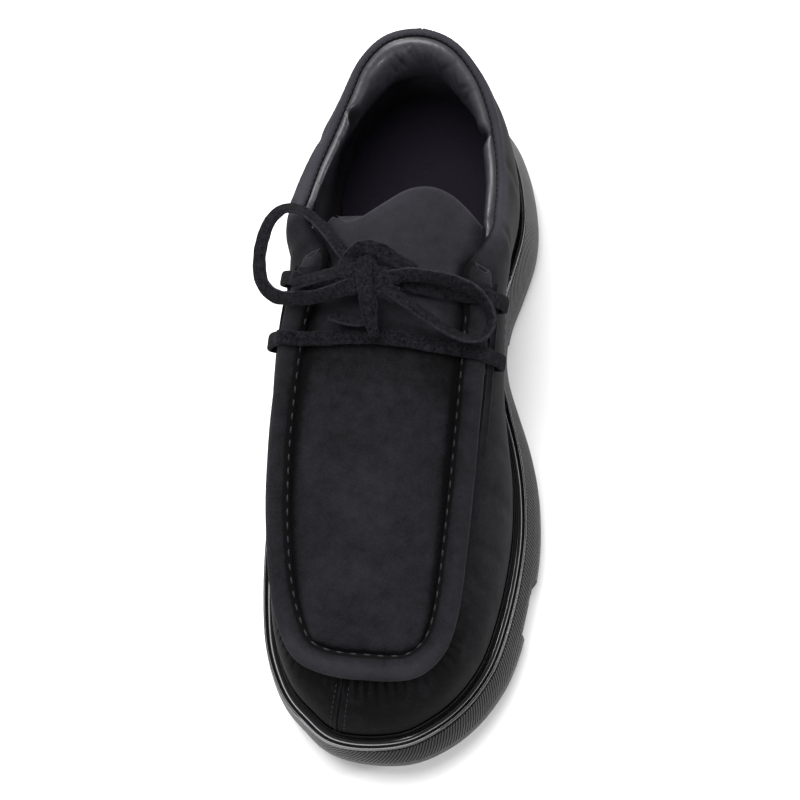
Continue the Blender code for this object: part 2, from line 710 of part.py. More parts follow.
# Top edge of the tongue from the lateral to the medial side: share across, share of TONGUE_REACH
TONGUE_EDGE = ((0.0, 0.66), (0.15, 0.92), (0.30, 1.01), (0.45, 0.93), (0.60, 0.72),
               (0.74, 0.54), (0.84, 0.51), (0.93, 0.63), (1.0, 0.50))


def throat_point(y, u, fall=0.0, crown=1.0, width=1.0, ends=None):
    """Point across the throat at length y: u runs from the lateral to the medial edge."""
    edge_y = y if ends is None else min(y, ends)
    right, left = throat_edge(edge_y, 1), throat_edge(edge_y, -1)
    half = width * ((right[0] - left[0]) / 2 - 1.5 * CLEARANCE)
    centre = 0.5 * (right[0] + left[0])
    edge = right[2] + (left[2] - right[2]) * u - fall * BACK_HEIGHT
    return np.array([centre + half * (1 - 2 * u), y, edge + crown * THROAT_CROWN * math.sin(math.pi * u)])


def make_tongue(finish):
    """Padded sheet from the plug's end up through the throat, with a wavy top edge."""
    across = 12
    start = 0.5 * (skin(around(PLUG_END, 1), 2.0)[1] + skin(around(PLUG_END, -1), 2.0)[1]) + 1.5 * CLEARANCE
    bead = 0.5 * (top(around(BEAD, 1))[1] + top(around(BEAD, -1))[1])
    edge_curve = smooth_path([(u, reach, 0.0) for u, reach in TONGUE_EDGE], 60)
    points, faces = [], []
    for share, width, fall, crown in TONGUE_ROWS:
        for k in range(across + 1):
            u = k / across
            reach = np.interp(u, edge_curve[:, 0], edge_curve[:, 1]) * TONGUE_REACH
            y = start + (bead + reach - start) * share
            points.append(throat_point(y, u, fall, crown, width, bead + 0.2 * TONGUE_REACH))
    for r in range(len(TONGUE_ROWS) - 1):
        for k in range(across):
            a = r * (across + 1) + k
            faces.append((a, a + across + 1, a + across + 2, a + 1))
    return sheet_solid("tongue", points, faces, [TONGUE_THICKNESS] * len(points), finish)


def over_roll(place, q, lift):
    """Point a given lift outside the roll: q runs from -1 at its outer foot to 1 at its inner foot."""
    half = ROLL_WIDTH / 2 + lift
    height = (ROLL_HEIGHT + lift) * math.sqrt(max(0.0, 1 - q * q))
    return skin_at(place, q * half) + seam_normal(place) * max(height, lift)


def lace_bar_path(row):
    """Middle line of a bar from the lateral hole over roll, throat and roll to the medial hole."""
    lift = LACE_THICKNESS / 2 + 4 * CLEARANCE
    sides = []
    for side in (1, -1):
        place = around(row, side)
        hole, strip = -HOLE_FROM_SEAM, -(ROLL_WIDTH / 2 + 0.8 * FACING_WIDTH)
        stops = [skin_at(place, hole) + seam_normal(place, hole) * (lift + 0.0008),
                 skin_at(place, strip) + seam_normal(place, strip) * (lift + FACING_THICKNESS + 2 * CLEARANCE)]
        stops += [over_roll(place, q, lift + CLEARANCE) for q in (-0.72, -0.2, 0.35, 0.8)]
        sides.append(stops)
    ends = [stops[-1][1] for stops in sides]
    middle = []
    for u in (0.14, 0.32, 0.5, 0.68, 0.86):
        y = ends[0] + (ends[1] - ends[0]) * u
        middle.append(throat_point(y, u, crown=1.1) + UP * (lift + 0.0006))
    return sides[0] + middle + list(reversed(sides[1]))


def make_lace_bar(name, row, finish):
    """Flat thong from hole to hole over the rolls and across the throat."""
    path = smooth_path(lace_bar_path(row), 38)
    slope = sum(skin(around(row + 0.4, side), 1.0) - skin(around(row - 0.4, side), 1.0) for side in (1, -1))
    sections = []
    for k, point in enumerate(path):
        run = path[min(k + 1, len(path) - 1)] - path[max(k - 1, 0)]
        run /= np.linalg.norm(run)
        wide = slope - run * np.dot(slope, run)
        wide /= np.linalg.norm(wide)
        thick = np.cross(run, wide)
        w, t = wide * LACE_WIDTH / 2, thick * LACE_THICKNESS / 2
        sections.append([point - w - t, point + w - t, point + w + t, point - w + t])
    return sweep(name, sections, finish)


def smooth_path(stops, count):
    """Evenly spaced points on a smooth curve through a route's stops."""
    stops = [np.array(p, dtype=float) for p in stops]
    padded = [2 * stops[0] - stops[1]] + stops + [2 * stops[-1] - stops[-2]]
    fine = []
    for k in range(1, len(padded) - 2):
        a, b, c, d = padded[k - 1:k + 3]
        for n in range(16):
            t = n / 16
            fine.append(0.5 * (2 * b + (c - a) * t + (2 * a - 5 * b + 4 * c - d) * t**2
                               + (3 * b - a - 3 * c + d) * t**3))
    fine.append(stops[-1])
    fine = np.array(fine)
    run = np.concatenate([[0.0], np.cumsum(np.linalg.norm(np.diff(fine, axis=0), axis=1))])
    wanted = np.linspace(0.0, run[-1], count)
    return np.stack([np.interp(wanted, run, fine[:, axis]) for axis in range(3)], axis=1)


def make_knot(finish):
    """Plain body of the bow's knot."""
    bm = bmesh.new()
    bmesh.ops.create_uvsphere(bm, u_segments=14, v_segments=8, radius=1.0)
    mesh = bpy.data.meshes.new("knot")
    for vertex in bm.verts:
        vertex.co = [(c + h * v) * MM for c, h, v in zip(KNOT_AT, KNOT_HALF, vertex.co)]
    bm.to_mesh(mesh)
    bm.free()
    mesh.materials.append(finish)
    mesh.shade_smooth()
    knot = bpy.data.objects.new("knot", mesh)
    bpy.context.collection.objects.link(knot)


def dock(stop):
    """Point just clear of the knot's side, in the direction of a route's end, and the level way out."""
    centre, half = np.array(KNOT_AT), np.array(KNOT_HALF)
    away = (np.array(stop) - centre) * (1, 1, 0)
    side = away / np.linalg.norm(away / half)
    way = side / half**2
    way /= np.linalg.norm(way)
    return (centre + side) * MM + way * CLEARANCE, way


def make_cord(name, route, finish, returns=False):
    """Round stand-in for a free stretch of the thong, from the knot along a smooth route."""
    stops = [np.array(stop) * MM for stop in route]
    start, way = dock(route[0])
    stops = [start, start + way * LACE_TUBE / 2] + stops[1:]
    if returns:
        start, way = dock(route[-1])
        stops = stops[:-1] + [start + way * LACE_TUBE / 2, start]
    length = sum(np.linalg.norm(b - a) for a, b in zip(stops, stops[1:]))
    path = smooth_path(stops, max(8, round(length / (2.2 * LACE_TUBE))))
    curve = bpy.data.curves.new(name, "CURVE")
    curve.dimensions = "3D"
    curve.bevel_depth = LACE_TUBE / 2
    curve.bevel_resolution = 2
    curve.use_fill_caps = True
    spline = curve.splines.new("POLY")
    spline.points.add(len(path) - 1)
    for point, place in zip(spline.points, path):
        point.co = (*place, 1.0)
    curve.materials.append(finish)
    cord = bpy.data.objects.new(name, curve)
    bpy.context.collection.objects.link(cord)


def stand_on_origin():
    """Move every piece so that the middle of the shoe's box, without its bow, stands on the origin."""
    bpy.context.view_layer.update()
    shoe = [thing for thing in bpy.data.objects if not thing.hide_render and thing.name not in BOW]
    corners = [thing.matrix_world @ Vector(corner) for thing in shoe for corner in thing.bound_box]
    low = [min(corner[axis] for corner in corners) for axis in range(3)]
    high = [max(corner[axis] for corner in corners) for axis in range(3)]
    shift = Vector((-(low[0] + high[0]) / 2, -(low[1] + high[1]) / 2, -low[2]))
    for thing in bpy.data.objects:
        thing.location = shift


def clear_scene():
    for thing in list(bpy.data.objects):
        bpy.data.objects.remove(thing, do_unlink=True)


def main():
    clear_scene()
    nubuck = material("nubuck_black", (0.021, 0.020, 0.024), 0.88)
    rubber = material("rubber_black", (0.015, 0.015, 0.016), 0.45)
    gloss_rubber = material("rubber_gloss_black", (0.012, 0.012, 0.013), 0.22)
    board = material("insole_black", (0.014, 0.012, 0.016), 0.80)
    suede = material("suede_lace_black", (0.013, 0.013, 0.015), 0.95)
    make_outsole(rubber)
    make_midsole(rubber)
    make_welt(gloss_rubber)
    make_insole(board)
    make_upper(nubuck)
    make_roll(nubuck)
    make_facing("facing_lateral", 1, nubuck)
    make_facing("facing_medial", -1, nubuck)
    make_tongue(nubuck)
    make_lace_bar("lace_bar_lower", LOWER_HOLE, suede)
    make_lace_bar("lace_bar_upper", UPPER_HOLE, suede)
    make_knot(suede)
    make_cord("bow_medial", MEDIAL_LOOP, suede, returns=True)
    make_cord("bow_lateral", LATERAL_LOOP, suede, returns=True)
    make_cord("lace_end_medial", MEDIAL_END, suede)
    make_cord("lace_end_lateral", LATERAL_END, suede)
    stand_on_origin()


main()
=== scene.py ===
"""Looks of a left creeper shoe in black nubuck on a flared, ribbed rubber sole.

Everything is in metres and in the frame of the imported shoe: toe along -Y, outer side at +X.
The forms come from the same sections around the foot as the solids, at a finer step.
"""

import math
import random
from functools import lru_cache

import bmesh
import bpy
import numpy as np
from mathutils import Matrix, Vector


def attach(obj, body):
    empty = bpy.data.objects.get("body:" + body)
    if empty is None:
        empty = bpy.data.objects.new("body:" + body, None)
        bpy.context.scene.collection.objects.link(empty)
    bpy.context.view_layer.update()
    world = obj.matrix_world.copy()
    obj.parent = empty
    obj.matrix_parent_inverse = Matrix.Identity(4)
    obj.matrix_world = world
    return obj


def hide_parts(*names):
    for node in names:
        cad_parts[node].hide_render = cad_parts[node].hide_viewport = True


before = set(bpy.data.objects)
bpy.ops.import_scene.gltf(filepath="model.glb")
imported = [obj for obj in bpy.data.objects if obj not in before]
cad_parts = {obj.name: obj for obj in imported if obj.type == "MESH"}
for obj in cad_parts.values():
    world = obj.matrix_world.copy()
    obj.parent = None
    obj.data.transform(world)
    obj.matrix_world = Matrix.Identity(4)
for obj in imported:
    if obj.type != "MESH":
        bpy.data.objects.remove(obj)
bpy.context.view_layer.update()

MM = 0.001
UP = np.array([0.0, 0.0, 1.0])

# Last and upper
LAST_LENGTH = 0.284
BALL_WIDTH = 0.098
BACK_HEIGHT = 0.068
WALL = 0.0022
NUBUCK = 0.0012            # the outer leather alone
CREST = 0.0042
THROAT_CROWN = 0.0100
BALL_CROWN = 0.0036

# Apron roll, its thread and the facings
ROLL_WIDTH = 0.0098
ROLL_HEIGHT = 0.0052
FACING_WIDTH = 0.0050
FACING_THICKNESS = 0.0013
HOLE_FROM_SEAM = 0.0138
APRON_STITCH = 0.0056      # pitch of the hand-sewn apron seam
APRON_THREAD = 0.0009
FINE_STITCH = 0.0026       # pitch of the machine seams
FINE_THREAD = 0.00045

# Tongue
TONGUE_THICKNESS = 0.0036
TONGUE_REACH = 0.0300

# Sole
HEEL_SEAT = 0.038
BALL_SEAT = 0.0275
TOE_LIFT = 0.0068
TOE_SPRING = 0.0100
WELT_WIDTH = 0.0064
WELT_HEEL_WIDTH = 0.0036
WELT_HEIGHT = 0.0058
WELT_SEAT = 0.0064
FLARE_LATERAL = 0.0062
FLARE_MEDIAL = 0.0016
FLARE_HEEL = 0.0060
FLARE_WAIST = 0.0034
ARCH_HEIGHT = 0.0130
ARCH_FROM = 0.0120
ARCH_TO = 0.0420
LUG_PITCH = 0.0220
LUG_GROOVE = 0.0042
LUG_DEPTH = 0.0038
LUG_REACH = 0.0200
STEP_DEPTH = 0.0020
STEP_FROM = -0.0890
STEP_TO = -0.0670
STEP_HEIGHT = 0.0170
INSOLE_THICKNESS = 0.0030
INSOLE_INSET = 0.0018
INSOLE_TOE_INSET = 0.0034
RIB_PITCH = 0.0017         # of the slanting ribs on the sole's side, along its edge

# Lace
LACE_WIDTH = 0.0060
LACE_THICKNESS = 0.0024
LACE_TUBE = 0.0036
CLEARANCE = 0.0003

# Bow: middle of the knot, its half sizes and the routes of loops and ends, in mm
KNOT_AT = (-13.0, 29.0, 116.2)
KNOT_HALF = (8.5, 9.5, 3.5)
MEDIAL_LOOP = ((-20.6, 37.2, 116.2), (-27.5, 45.0, 113.0), (-34.5, 53.0, 109.0), (-42.5, 59.5, 105.5),
               (-50.5, 61.5, 102.0), (-56.5, 57.0, 99.5), (-59.3, 48.0, 97.5), (-59.5, 38.5, 96.5),
               (-57.0, 30.0, 97.2), (-51.0, 24.5, 99.0), (-42.0, 22.5, 104.0), (-31.0, 22.0, 111.0),
               (-21.6, 24.2, 116.2))
LATERAL_LOOP = ((-3.6, 30.5, 116.2), (5.0, 32.0, 116.4), (15.0, 32.4, 114.2), (24.0, 32.0, 110.4),
                (31.5, 29.5, 106.7), (36.6, 24.5, 103.0), (38.0, 18.5, 101.0), (35.2, 13.2, 100.4),
                (29.0, 11.6, 101.8), (21.5, 13.2, 105.0), (13.0, 16.6, 109.6), (5.0, 20.6, 113.6),
                (-4.0, 25.2, 116.2))
# The ends start on the far side of the knot and run through it
MEDIAL_END = ((-6.0, 29.4, 116.0), (-14.0, 30.2, 116.4), (-22.4, 30.8, 116.2), (-28.5, 30.0, 114.6),
              (-35.0, 28.8, 111.5), (-42.5, 27.0, 108.6))
LATERAL_END = ((-12.0, 38.0, 116.6), (-11.4, 30.0, 118.2), (-11.2, 22.8, 117.2), (-10.0, 17.4, 113.6),
               (-12.0, 14.2, 110.0), (-17.5, 13.8, 107.6), (-26.5, 16.2, 105.0))
# Band that crosses over the knot, from its medial foot to its lateral tip
KNOT_ARCH = ((-22.0, 32.6, 113.4), (-20.4, 37.4, 116.0), (-14.6, 41.4, 118.6), (-7.2, 40.0, 119.2),
             (-0.6, 36.6, 117.6), (7.0, 34.6, 114.6))
# Short strip down the front of the knot
KNOT_STRIP = ((-13.4, 37.2, 117.2), (-13.4, 33.0, 119.8), (-12.8, 26.0, 120.3), (-11.2, 19.0, 118.6),
              (-9.4, 12.6, 113.4), (-7.6, 7.4, 108.6))
# Bands inside the knot, where the loops and ends run into it
KNOT_UPPER = ((-24.0, 33.0, 114.6), (-19.0, 31.6, 116.8), (-12.0, 30.6, 117.4), (-5.0, 30.6, 116.8),
              (0.0, 31.4, 115.4))
KNOT_LOWER = ((-24.0, 24.0, 114.6), (-18.5, 25.2, 116.6), (-12.0, 25.6, 117.2), (-5.5, 25.0, 116.4),
              (0.0, 23.2, 114.8))

# Sections from the toe to the heel, a row each.
# foot_along and top_along are shares of LAST_LENGTH from the toe, foot_out, top_out and the
# bellies are shares of BALL_WIDTH from the axis, and top_rise is a share of BACK_HEIGHT.
COLUMNS = ("foot_along", "foot_out", "top_along", "top_out", "top_rise", "low_belly", "high_belly")
TOE = (0.000, -0.020, 0.083, -0.020, 0.390, 0.020, 0.120)
HEEL = (1.000, -0.010, 1.002, -0.020, 1.000, 0.040, 0.030)
LATERAL = (
    (0.010, 0.133, 0.084, 0.082, 0.394, 0.020, 0.120),
    (0.035, 0.250, 0.090, 0.163, 0.410, 0.020, 0.120),
    (0.065, 0.337, 0.106, 0.224, 0.437, 0.025, 0.125),
    (0.099, 0.401, 0.130, 0.265, 0.462, 0.030, 0.130),
    (0.137, 0.447, 0.166, 0.286, 0.490, 0.030, 0.135),
    (0.194, 0.483, 0.215, 0.296, 0.535, 0.030, 0.140),
    (0.257, 0.506, 0.271, 0.301, 0.588, 0.030, 0.145),
    (0.320, 0.512, 0.335, 0.306, 0.640, 0.030, 0.150),
    (0.387, 0.493, 0.398, 0.309, 0.706, 0.035, 0.150),
    (0.447, 0.454, 0.461, 0.312, 0.787, 0.040, 0.150),
    (0.503, 0.402, 0.525, 0.316, 0.865, 0.060, 0.155),
    (0.560, 0.360, 0.585, 0.318, 0.907, 0.075, 0.170),
    (0.613, 0.345, 0.641, 0.311, 0.928, 0.080, 0.175),
    (0.666, 0.352, 0.708, 0.378, 0.837, 0.070, 0.090),
    (0.718, 0.384, 0.754, 0.383, 0.740, 0.055, 0.060),
    (0.778, 0.414, 0.806, 0.376, 0.713, 0.045, 0.050),
    (0.828, 0.408, 0.856, 0.352, 0.750, 0.040, 0.040),
    (0.887, 0.365, 0.908, 0.306, 0.824, 0.035, 0.035),
    (0.940, 0.286, 0.952, 0.235, 0.904, 0.040, 0.030),
    (0.982, 0.153, 0.988, 0.122, 0.978, 0.040, 0.030),
)
MEDIAL = (
    (0.005, 0.153, 0.083, 0.122, 0.392, 0.020, 0.115),
    (0.030, 0.255, 0.088, 0.214, 0.406, 0.020, 0.110),
    (0.056, 0.332, 0.100, 0.286, 0.432, 0.020, 0.100),
    (0.092, 0.391, 0.127, 0.337, 0.460, 0.020, 0.095),
    (0.134, 0.434, 0.162, 0.378, 0.490, 0.020, 0.085),
    (0.190, 0.462, 0.211, 0.413, 0.535, 0.020, 0.075),
    (0.254, 0.480, 0.271, 0.439, 0.588, 0.025, 0.070),
    (0.317, 0.486, 0.335, 0.454, 0.640, 0.025, 0.070),
    (0.380, 0.480, 0.398, 0.459, 0.706, 0.030, 0.080),
    (0.444, 0.457, 0.461, 0.454, 0.787, 0.040, 0.110),
    (0.503, 0.418, 0.525, 0.444, 0.865, 0.050, 0.150),
    (0.560, 0.383, 0.585, 0.418, 0.912, 0.060, 0.210),
    (0.613, 0.360, 0.643, 0.372, 0.935, 0.060, 0.280),
    (0.666, 0.353, 0.712, 0.480, 0.830, 0.060, 0.150),
    (0.715, 0.365, 0.757, 0.474, 0.743, 0.060, 0.150),
    (0.771, 0.391, 0.806, 0.444, 0.728, 0.055, 0.120),
    (0.820, 0.401, 0.856, 0.393, 0.765, 0.045, 0.090),
    (0.880, 0.372, 0.905, 0.342, 0.830, 0.040, 0.055),
    (0.937, 0.301, 0.956, 0.281, 0.912, 0.040, 0.040),
    (0.982, 0.173, 0.991, 0.173, 0.978, 0.040, 0.030),
)

# Places around the foot, counted in rows from the heel along the lateral side
ROWS = 2 * len(LATERAL) + 2
TOE_ROW = ROWS // 2
BEAD = 13
COLLAR_FRONT = 14
PLUG_END = 11
TOE_CORNER = 3
UPPER_HOLE = 12.45
LOWER_HOLE = 11.15
FACING_END = 10.3
FACING_FADE = 8.6          # where the facing has sunk into the wall
STEP = 1 / 10              # places between two columns of the fine meshes
TOE_SEAM = 21.85           # place of the seam down the toe


def around(row, side):
    """Place on the closed table of a row of one side: +1 lateral, -1 medial."""
    return TOE_ROW - side * row


def section_table():
    """All rows in one closed loop from the heel, with signed outs."""
    rows = [HEEL] + list(reversed(LATERAL)) + [TOE]
    table = [dict(zip(COLUMNS, row)) for row in rows]
    for row in MEDIAL:
        named = dict(zip(COLUMNS, row))
        named["foot_out"] = -named["foot_out"]
        named["top_out"] = -named["top_out"]
        table.append(named)
    return np.array([[named[key] for key in COLUMNS] for named in table])


SECTIONS = section_table()


@lru_cache(maxsize=None)
def section(place):
    """Smooth closed curve through the sections, at any place between rows."""
    start = math.floor(place)
    t = place - start
    a, b, c, d = (SECTIONS[(start + k) % ROWS] for k in (-1, 0, 1, 2))
    values = 0.5 * (2 * b + (c - a) * t + (2 * a - 5 * b + 4 * c - d) * t**2 + (3 * b - a - 3 * c + d) * t**3)
    return dict(zip(COLUMNS, values))


def smooth(x):
    x = min(max(x, 0.0), 1.0)
    return x * x * (3 - 2 * x)


def hump(x):
    """1 at 0, falling softly to 0 by 2."""
    return math.exp(-x * x)


def along(share):
    return (share - 0.5) * LAST_LENGTH + MM


def seat(y):
    """Height of the sole's top, where the feather line runs."""
    heel = (HEEL_SEAT - BALL_SEAT) * smooth((y / LAST_LENGTH + 0.035) / 0.265)
    toe = max(0.0, (-0.215 - y / LAST_LENGTH) / 0.28)
    return BALL_SEAT + heel + TOE_LIFT * toe**2


def tread(y):
    toe = max(0.0, (-0.310 - y / LAST_LENGTH) / 0.22)
    return TOE_SPRING * toe**2


def split(y):
    return tread(y) + 0.48 * (seat(y) - tread(y))


@lru_cache(maxsize=None)
def foot(place):
    values = section(place)
    y = along(values["foot_along"])
    return np.array([values["foot_out"] * BALL_WIDTH, y, seat(y)])


@lru_cache(maxsize=None)
def top(place):
    values = section(place)
    base = foot(place)
    return np.array([values["top_out"] * BALL_WIDTH, along(values["top_along"]),
                     base[2] + values["top_rise"] * BACK_HEIGHT])


@lru_cache(maxsize=None)
def outward(curve, place):
    """Level direction square to a curve around the shoe, pointing away from the foot."""
    run = curve(place + 0.05) - curve(place - 0.05)
    side = np.array([-run[1], run[0], 0.0])
    return side / np.linalg.norm(side)


def row_of(place):
    return abs(TOE_ROW - place % ROWS)


@lru_cache(maxsize=None)
def collar_share(place):
    """1 along the padded collar, 0 along the apron, smooth across the throat's top corners."""
    return smooth((row_of(place) - BEAD) / (COLLAR_FRONT + 0.6 - BEAD))


@lru_cache(maxsize=None)
def wall_curve(place):
    """The four control points of the wall from the feather line to the top edge."""
    values = section(place)
    low, high = foot(place), top(place)
    rise = (high[2] - low[2]) * UP
    leaning = outward(top, place) * values["high_belly"] * BALL_WIDTH
    belly = outward(foot, place) * values["low_belly"] * BALL_WIDTH
    return low + UP * CLEARANCE, low + 0.42 * rise + belly, high + leaning - 0.2 * rise, high


@lru_cache(maxsize=None)
def skin(place, level):
    """Point of the upper's outer face: 0 to 1 up the wall, 1 to 2 over its top edge."""
    a, b, c, d = wall_curve(place)
    if level <= 1.0:
        t, s = level, 1.0 - level
        return s**3 * a + 3 * s * s * t * b + 3 * s * t * t * c + t**3 * d
    over = level - 1.0
    pad = collar_share(place)
    reach = (1 - pad) * ROLL_WIDTH / 2 + pad * CREST
    rise = (1 - pad) * 0.12 * ROLL_WIDTH * over - pad * 0.62 * CREST * over**2
    return d - outward(top, place) * reach * over + UP * rise


def skin_at(place, distance):
    """Point of the outer face at a distance from the seam, + inwards, - down the wall."""
    if distance >= 0:
        return skin(place, 1.0 + 2 * distance / ROLL_WIDTH)
    _, _, c, d = wall_curve(place)
    return skin(place, 1.0 + distance / (3 * np.linalg.norm(d - c)) * 1.12)


def unit(v):
    return v / np.linalg.norm(v)


@lru_cache(maxsize=None)
def seam_normal(place, distance=0.0):
    step = 0.0012
    across = skin_at(place, distance + step) - skin_at(place, distance - step)
    run = skin_at(place + 0.05, distance) - skin_at(place - 0.05, distance)
    return unit(np.cross(across, run))


@lru_cache(maxsize=None)
def wall_normal(place, level):
    across = skin(place, min(level + 0.01, 1.0)) - skin(place, level - 0.01)
    run = skin(place + 0.05, level) - skin(place - 0.05, level)
    return unit(np.cross(across, run))


def fine_places(step=STEP):
    return [k * step for k in range(round(ROWS / step))]


def heel_share(place):
    return smooth((foot(place)[1] / LAST_LENGTH + 0.02) / 0.16)


def welt_width(place):
    return WELT_WIDTH + (WELT_HEEL_WIDTH - WELT_WIDTH) * heel_share(place)


def rim(place):
    return welt_width(place) - 0.0004


@lru_cache(maxsize=None)
def flare(place):
    """Swelling of the sole's side past the welt: most outside, least inside and at the waist."""
    x, y = foot(place)[0] / (BALL_WIDTH / 2), foot(place)[1]
    lateral = smooth(0.5 + 0.9 * x)
    fore = FLARE_MEDIAL + (FLARE_LATERAL - FLARE_MEDIAL) * lateral
    swell = fore + (FLARE_HEEL - fore) * heel_share(place)
    waist = math.exp(-((y - 0.5 * (ARCH_FROM + ARCH_TO)) / ARCH_TO)**2)
    return swell + (FLARE_WAIST - swell) * waist


def level_ring(places, out, height):
    """Ring around the foot line moved outwards, at a height that follows the length."""
    ring = []
    for place in places:
        shift = out(place) if callable(out) else out
        point = foot(place) + outward(foot, place) * shift
        ring.append(np.array([point[0], point[1], height(point[1])]))
    return np.array(ring)


def origin_shift():
    """From the sections' own frame to the middle of the sole's outline."""
    outline = level_ring(fine_places(0.5), lambda p: rim(p) + flare(p), tread)
    middle = (outline.min(axis=0) + outline.max(axis=0)) / 2
    return np.array([-middle[0], -middle[1], 0.0])


SHIFT = origin_shift()


# Finishes

def hex_colour(code):
    """Linear RGBA of an sRGB hex value."""
    values = [int(code[k:k + 2], 16) / 255 for k in (1, 3, 5)]
    return tuple(v / 12.92 if v <= 0.04045 else ((v + 0.055) / 1.055)**2.4 for v in values) + (1.0,)


def node(tree, kind, settings=None, **links):
    """A node with its settings, its plain input values and its links, all by name."""
    made = tree.nodes.new(kind)
    for key, value in (settings or {}).items():
        setattr(made, key, value)
    for key, value in links.items():
        name = key.replace("_", " ")
        numbered = name.startswith("in") and name[2:].isdigit()
        socket = made.inputs[int(name[2:])] if numbered else made.inputs[name]
        if isinstance(value, bpy.types.NodeSocket):
            tree.links.new(value, socket)
        else:
            socket.default_value = value
    return made


def finish(name, roughness, sheen=0.0, sheen_roughness=0.5, coat=0.0, ior=1.5, specular=0.5):
    """New material with its shader's plain values set."""
    made = bpy.data.materials.new(name)
    made.use_nodes = True
    shader = made.node_tree.nodes["Principled BSDF"]
    shader.inputs["Roughness"].default_value = roughness
    shader.inputs["Sheen Weight"].default_value = sheen
    shader.inputs["Sheen Roughness"].default_value = sheen_roughness
    shader.inputs["Coat Weight"].default_value = coat
    shader.inputs["IOR"].default_value = ior
    shader.inputs["Specular IOR Level"].default_value = specular
    return made, made.node_tree, shader


def nubuck():
    """Calf sanded on its grain side: a short nap, matte, cloudy where it lies over, with painted light from
    each mesh's shade values: painted highlights on crests and edges, partly worn nap, and painted shade in
    creases and hollows.
    """
    made, tree, shader = finish("nubuck_black", 0.80, sheen=0.015, sheen_roughness=0.45, specular=0.08)
    where = node(tree, "ShaderNodeTexCoord").outputs["Object"]
    cloud = node(tree, "ShaderNodeTexNoise", Vector=where, Scale=1 / 0.020, Detail=3.0, Roughness=0.6)
    patch = node(tree, "ShaderNodeTexNoise", Vector=where, Scale=1 / 0.0045, Detail=3.0, Roughness=0.65)
    nap = node(tree, "ShaderNodeTexNoise", Vector=where, Scale=1 / 0.0007, Detail=2.0, Roughness=0.7)
    # painted light: the mesh's shade values, painted highlights (partly worn nap) and painted shade, added to
    # the tone
    painted_light_and_wear = node(tree, "ShaderNodeAttribute", {"attribute_name": "shade"})
    clouded = node(tree, "ShaderNodeMath", {"operation": "MULTIPLY_ADD"}, in0=cloud.outputs["Fac"], in1=0.16,
                   in2=painted_light_and_wear.outputs["Fac"])
    patched = node(tree, "ShaderNodeMath", {"operation": "MULTIPLY_ADD"}, in0=patch.outputs["Fac"], in1=0.14,
                   in2=clouded.outputs["Value"])
    napped = node(tree, "ShaderNodeMath", {"operation": "MULTIPLY_ADD"}, in0=nap.outputs["Fac"], in1=0.16,
                  in2=patched.outputs["Value"])
    light = node(tree, "ShaderNodeMapRange", Value=napped.outputs["Value"], From_Min=0.16, From_Max=1.04)
    colour = node(tree, "ShaderNodeMix", {"data_type": "RGBA"}, in0=light.outputs["Result"],
                  in6=hex_colour("#040405"), in7=hex_colour("#46454d"))
    tree.links.new(colour.outputs[2], shader.inputs["Base Color"])
    soft = node(tree, "ShaderNodeBump", Strength=0.35, Distance=0.0004, Height=patch.outputs["Fac"])
    fine = node(tree, "ShaderNodeBump", Strength=0.5, Distance=0.00015, Height=nap.outputs["Fac"],
                Normal=soft.outputs["Normal"])
    tree.links.new(fine.outputs["Normal"], shader.inputs["Normal"])
    return made


def calf_lining():
    """Smooth glazed calf: a fine pebble, fine creases and a soft broad shine."""
    made, tree, shader = finish("calf_lining_black", 0.42, coat=0.06, specular=0.5)
    where = node(tree, "ShaderNodeTexCoord").outputs["Object"]
    pebble = node(tree, "ShaderNodeTexVoronoi", {"feature": "F1"}, Vector=where, Scale=1 / 0.0008)
    crease = node(tree, "ShaderNodeTexNoise", Vector=where, Scale=1 / 0.006, Detail=4.0, Roughness=0.6)
    colour = node(tree, "ShaderNodeMix", {"data_type": "RGBA"}, in0=crease.outputs["Fac"],
                  in6=hex_colour("#18181c"), in7=hex_colour("#2f2f35"))
    tree.links.new(colour.outputs[2], shader.inputs["Base Color"])
    rough = node(tree, "ShaderNodeMapRange", Value=crease.outputs["Fac"], To_Min=0.34, To_Max=0.54)
    tree.links.new(rough.outputs["Result"], shader.inputs["Roughness"])
    grain = node(tree, "ShaderNodeBump", Strength=0.18, Distance=0.0001, Height=pebble.outputs["Distance"])
    fold = node(tree, "ShaderNodeBump", Strength=0.5, Distance=0.0006, Height=crease.outputs["Fac"],
                Normal=grain.outputs["Normal"])
    tree.links.new(fold.outputs["Normal"], shader.inputs["Normal"])
    return made


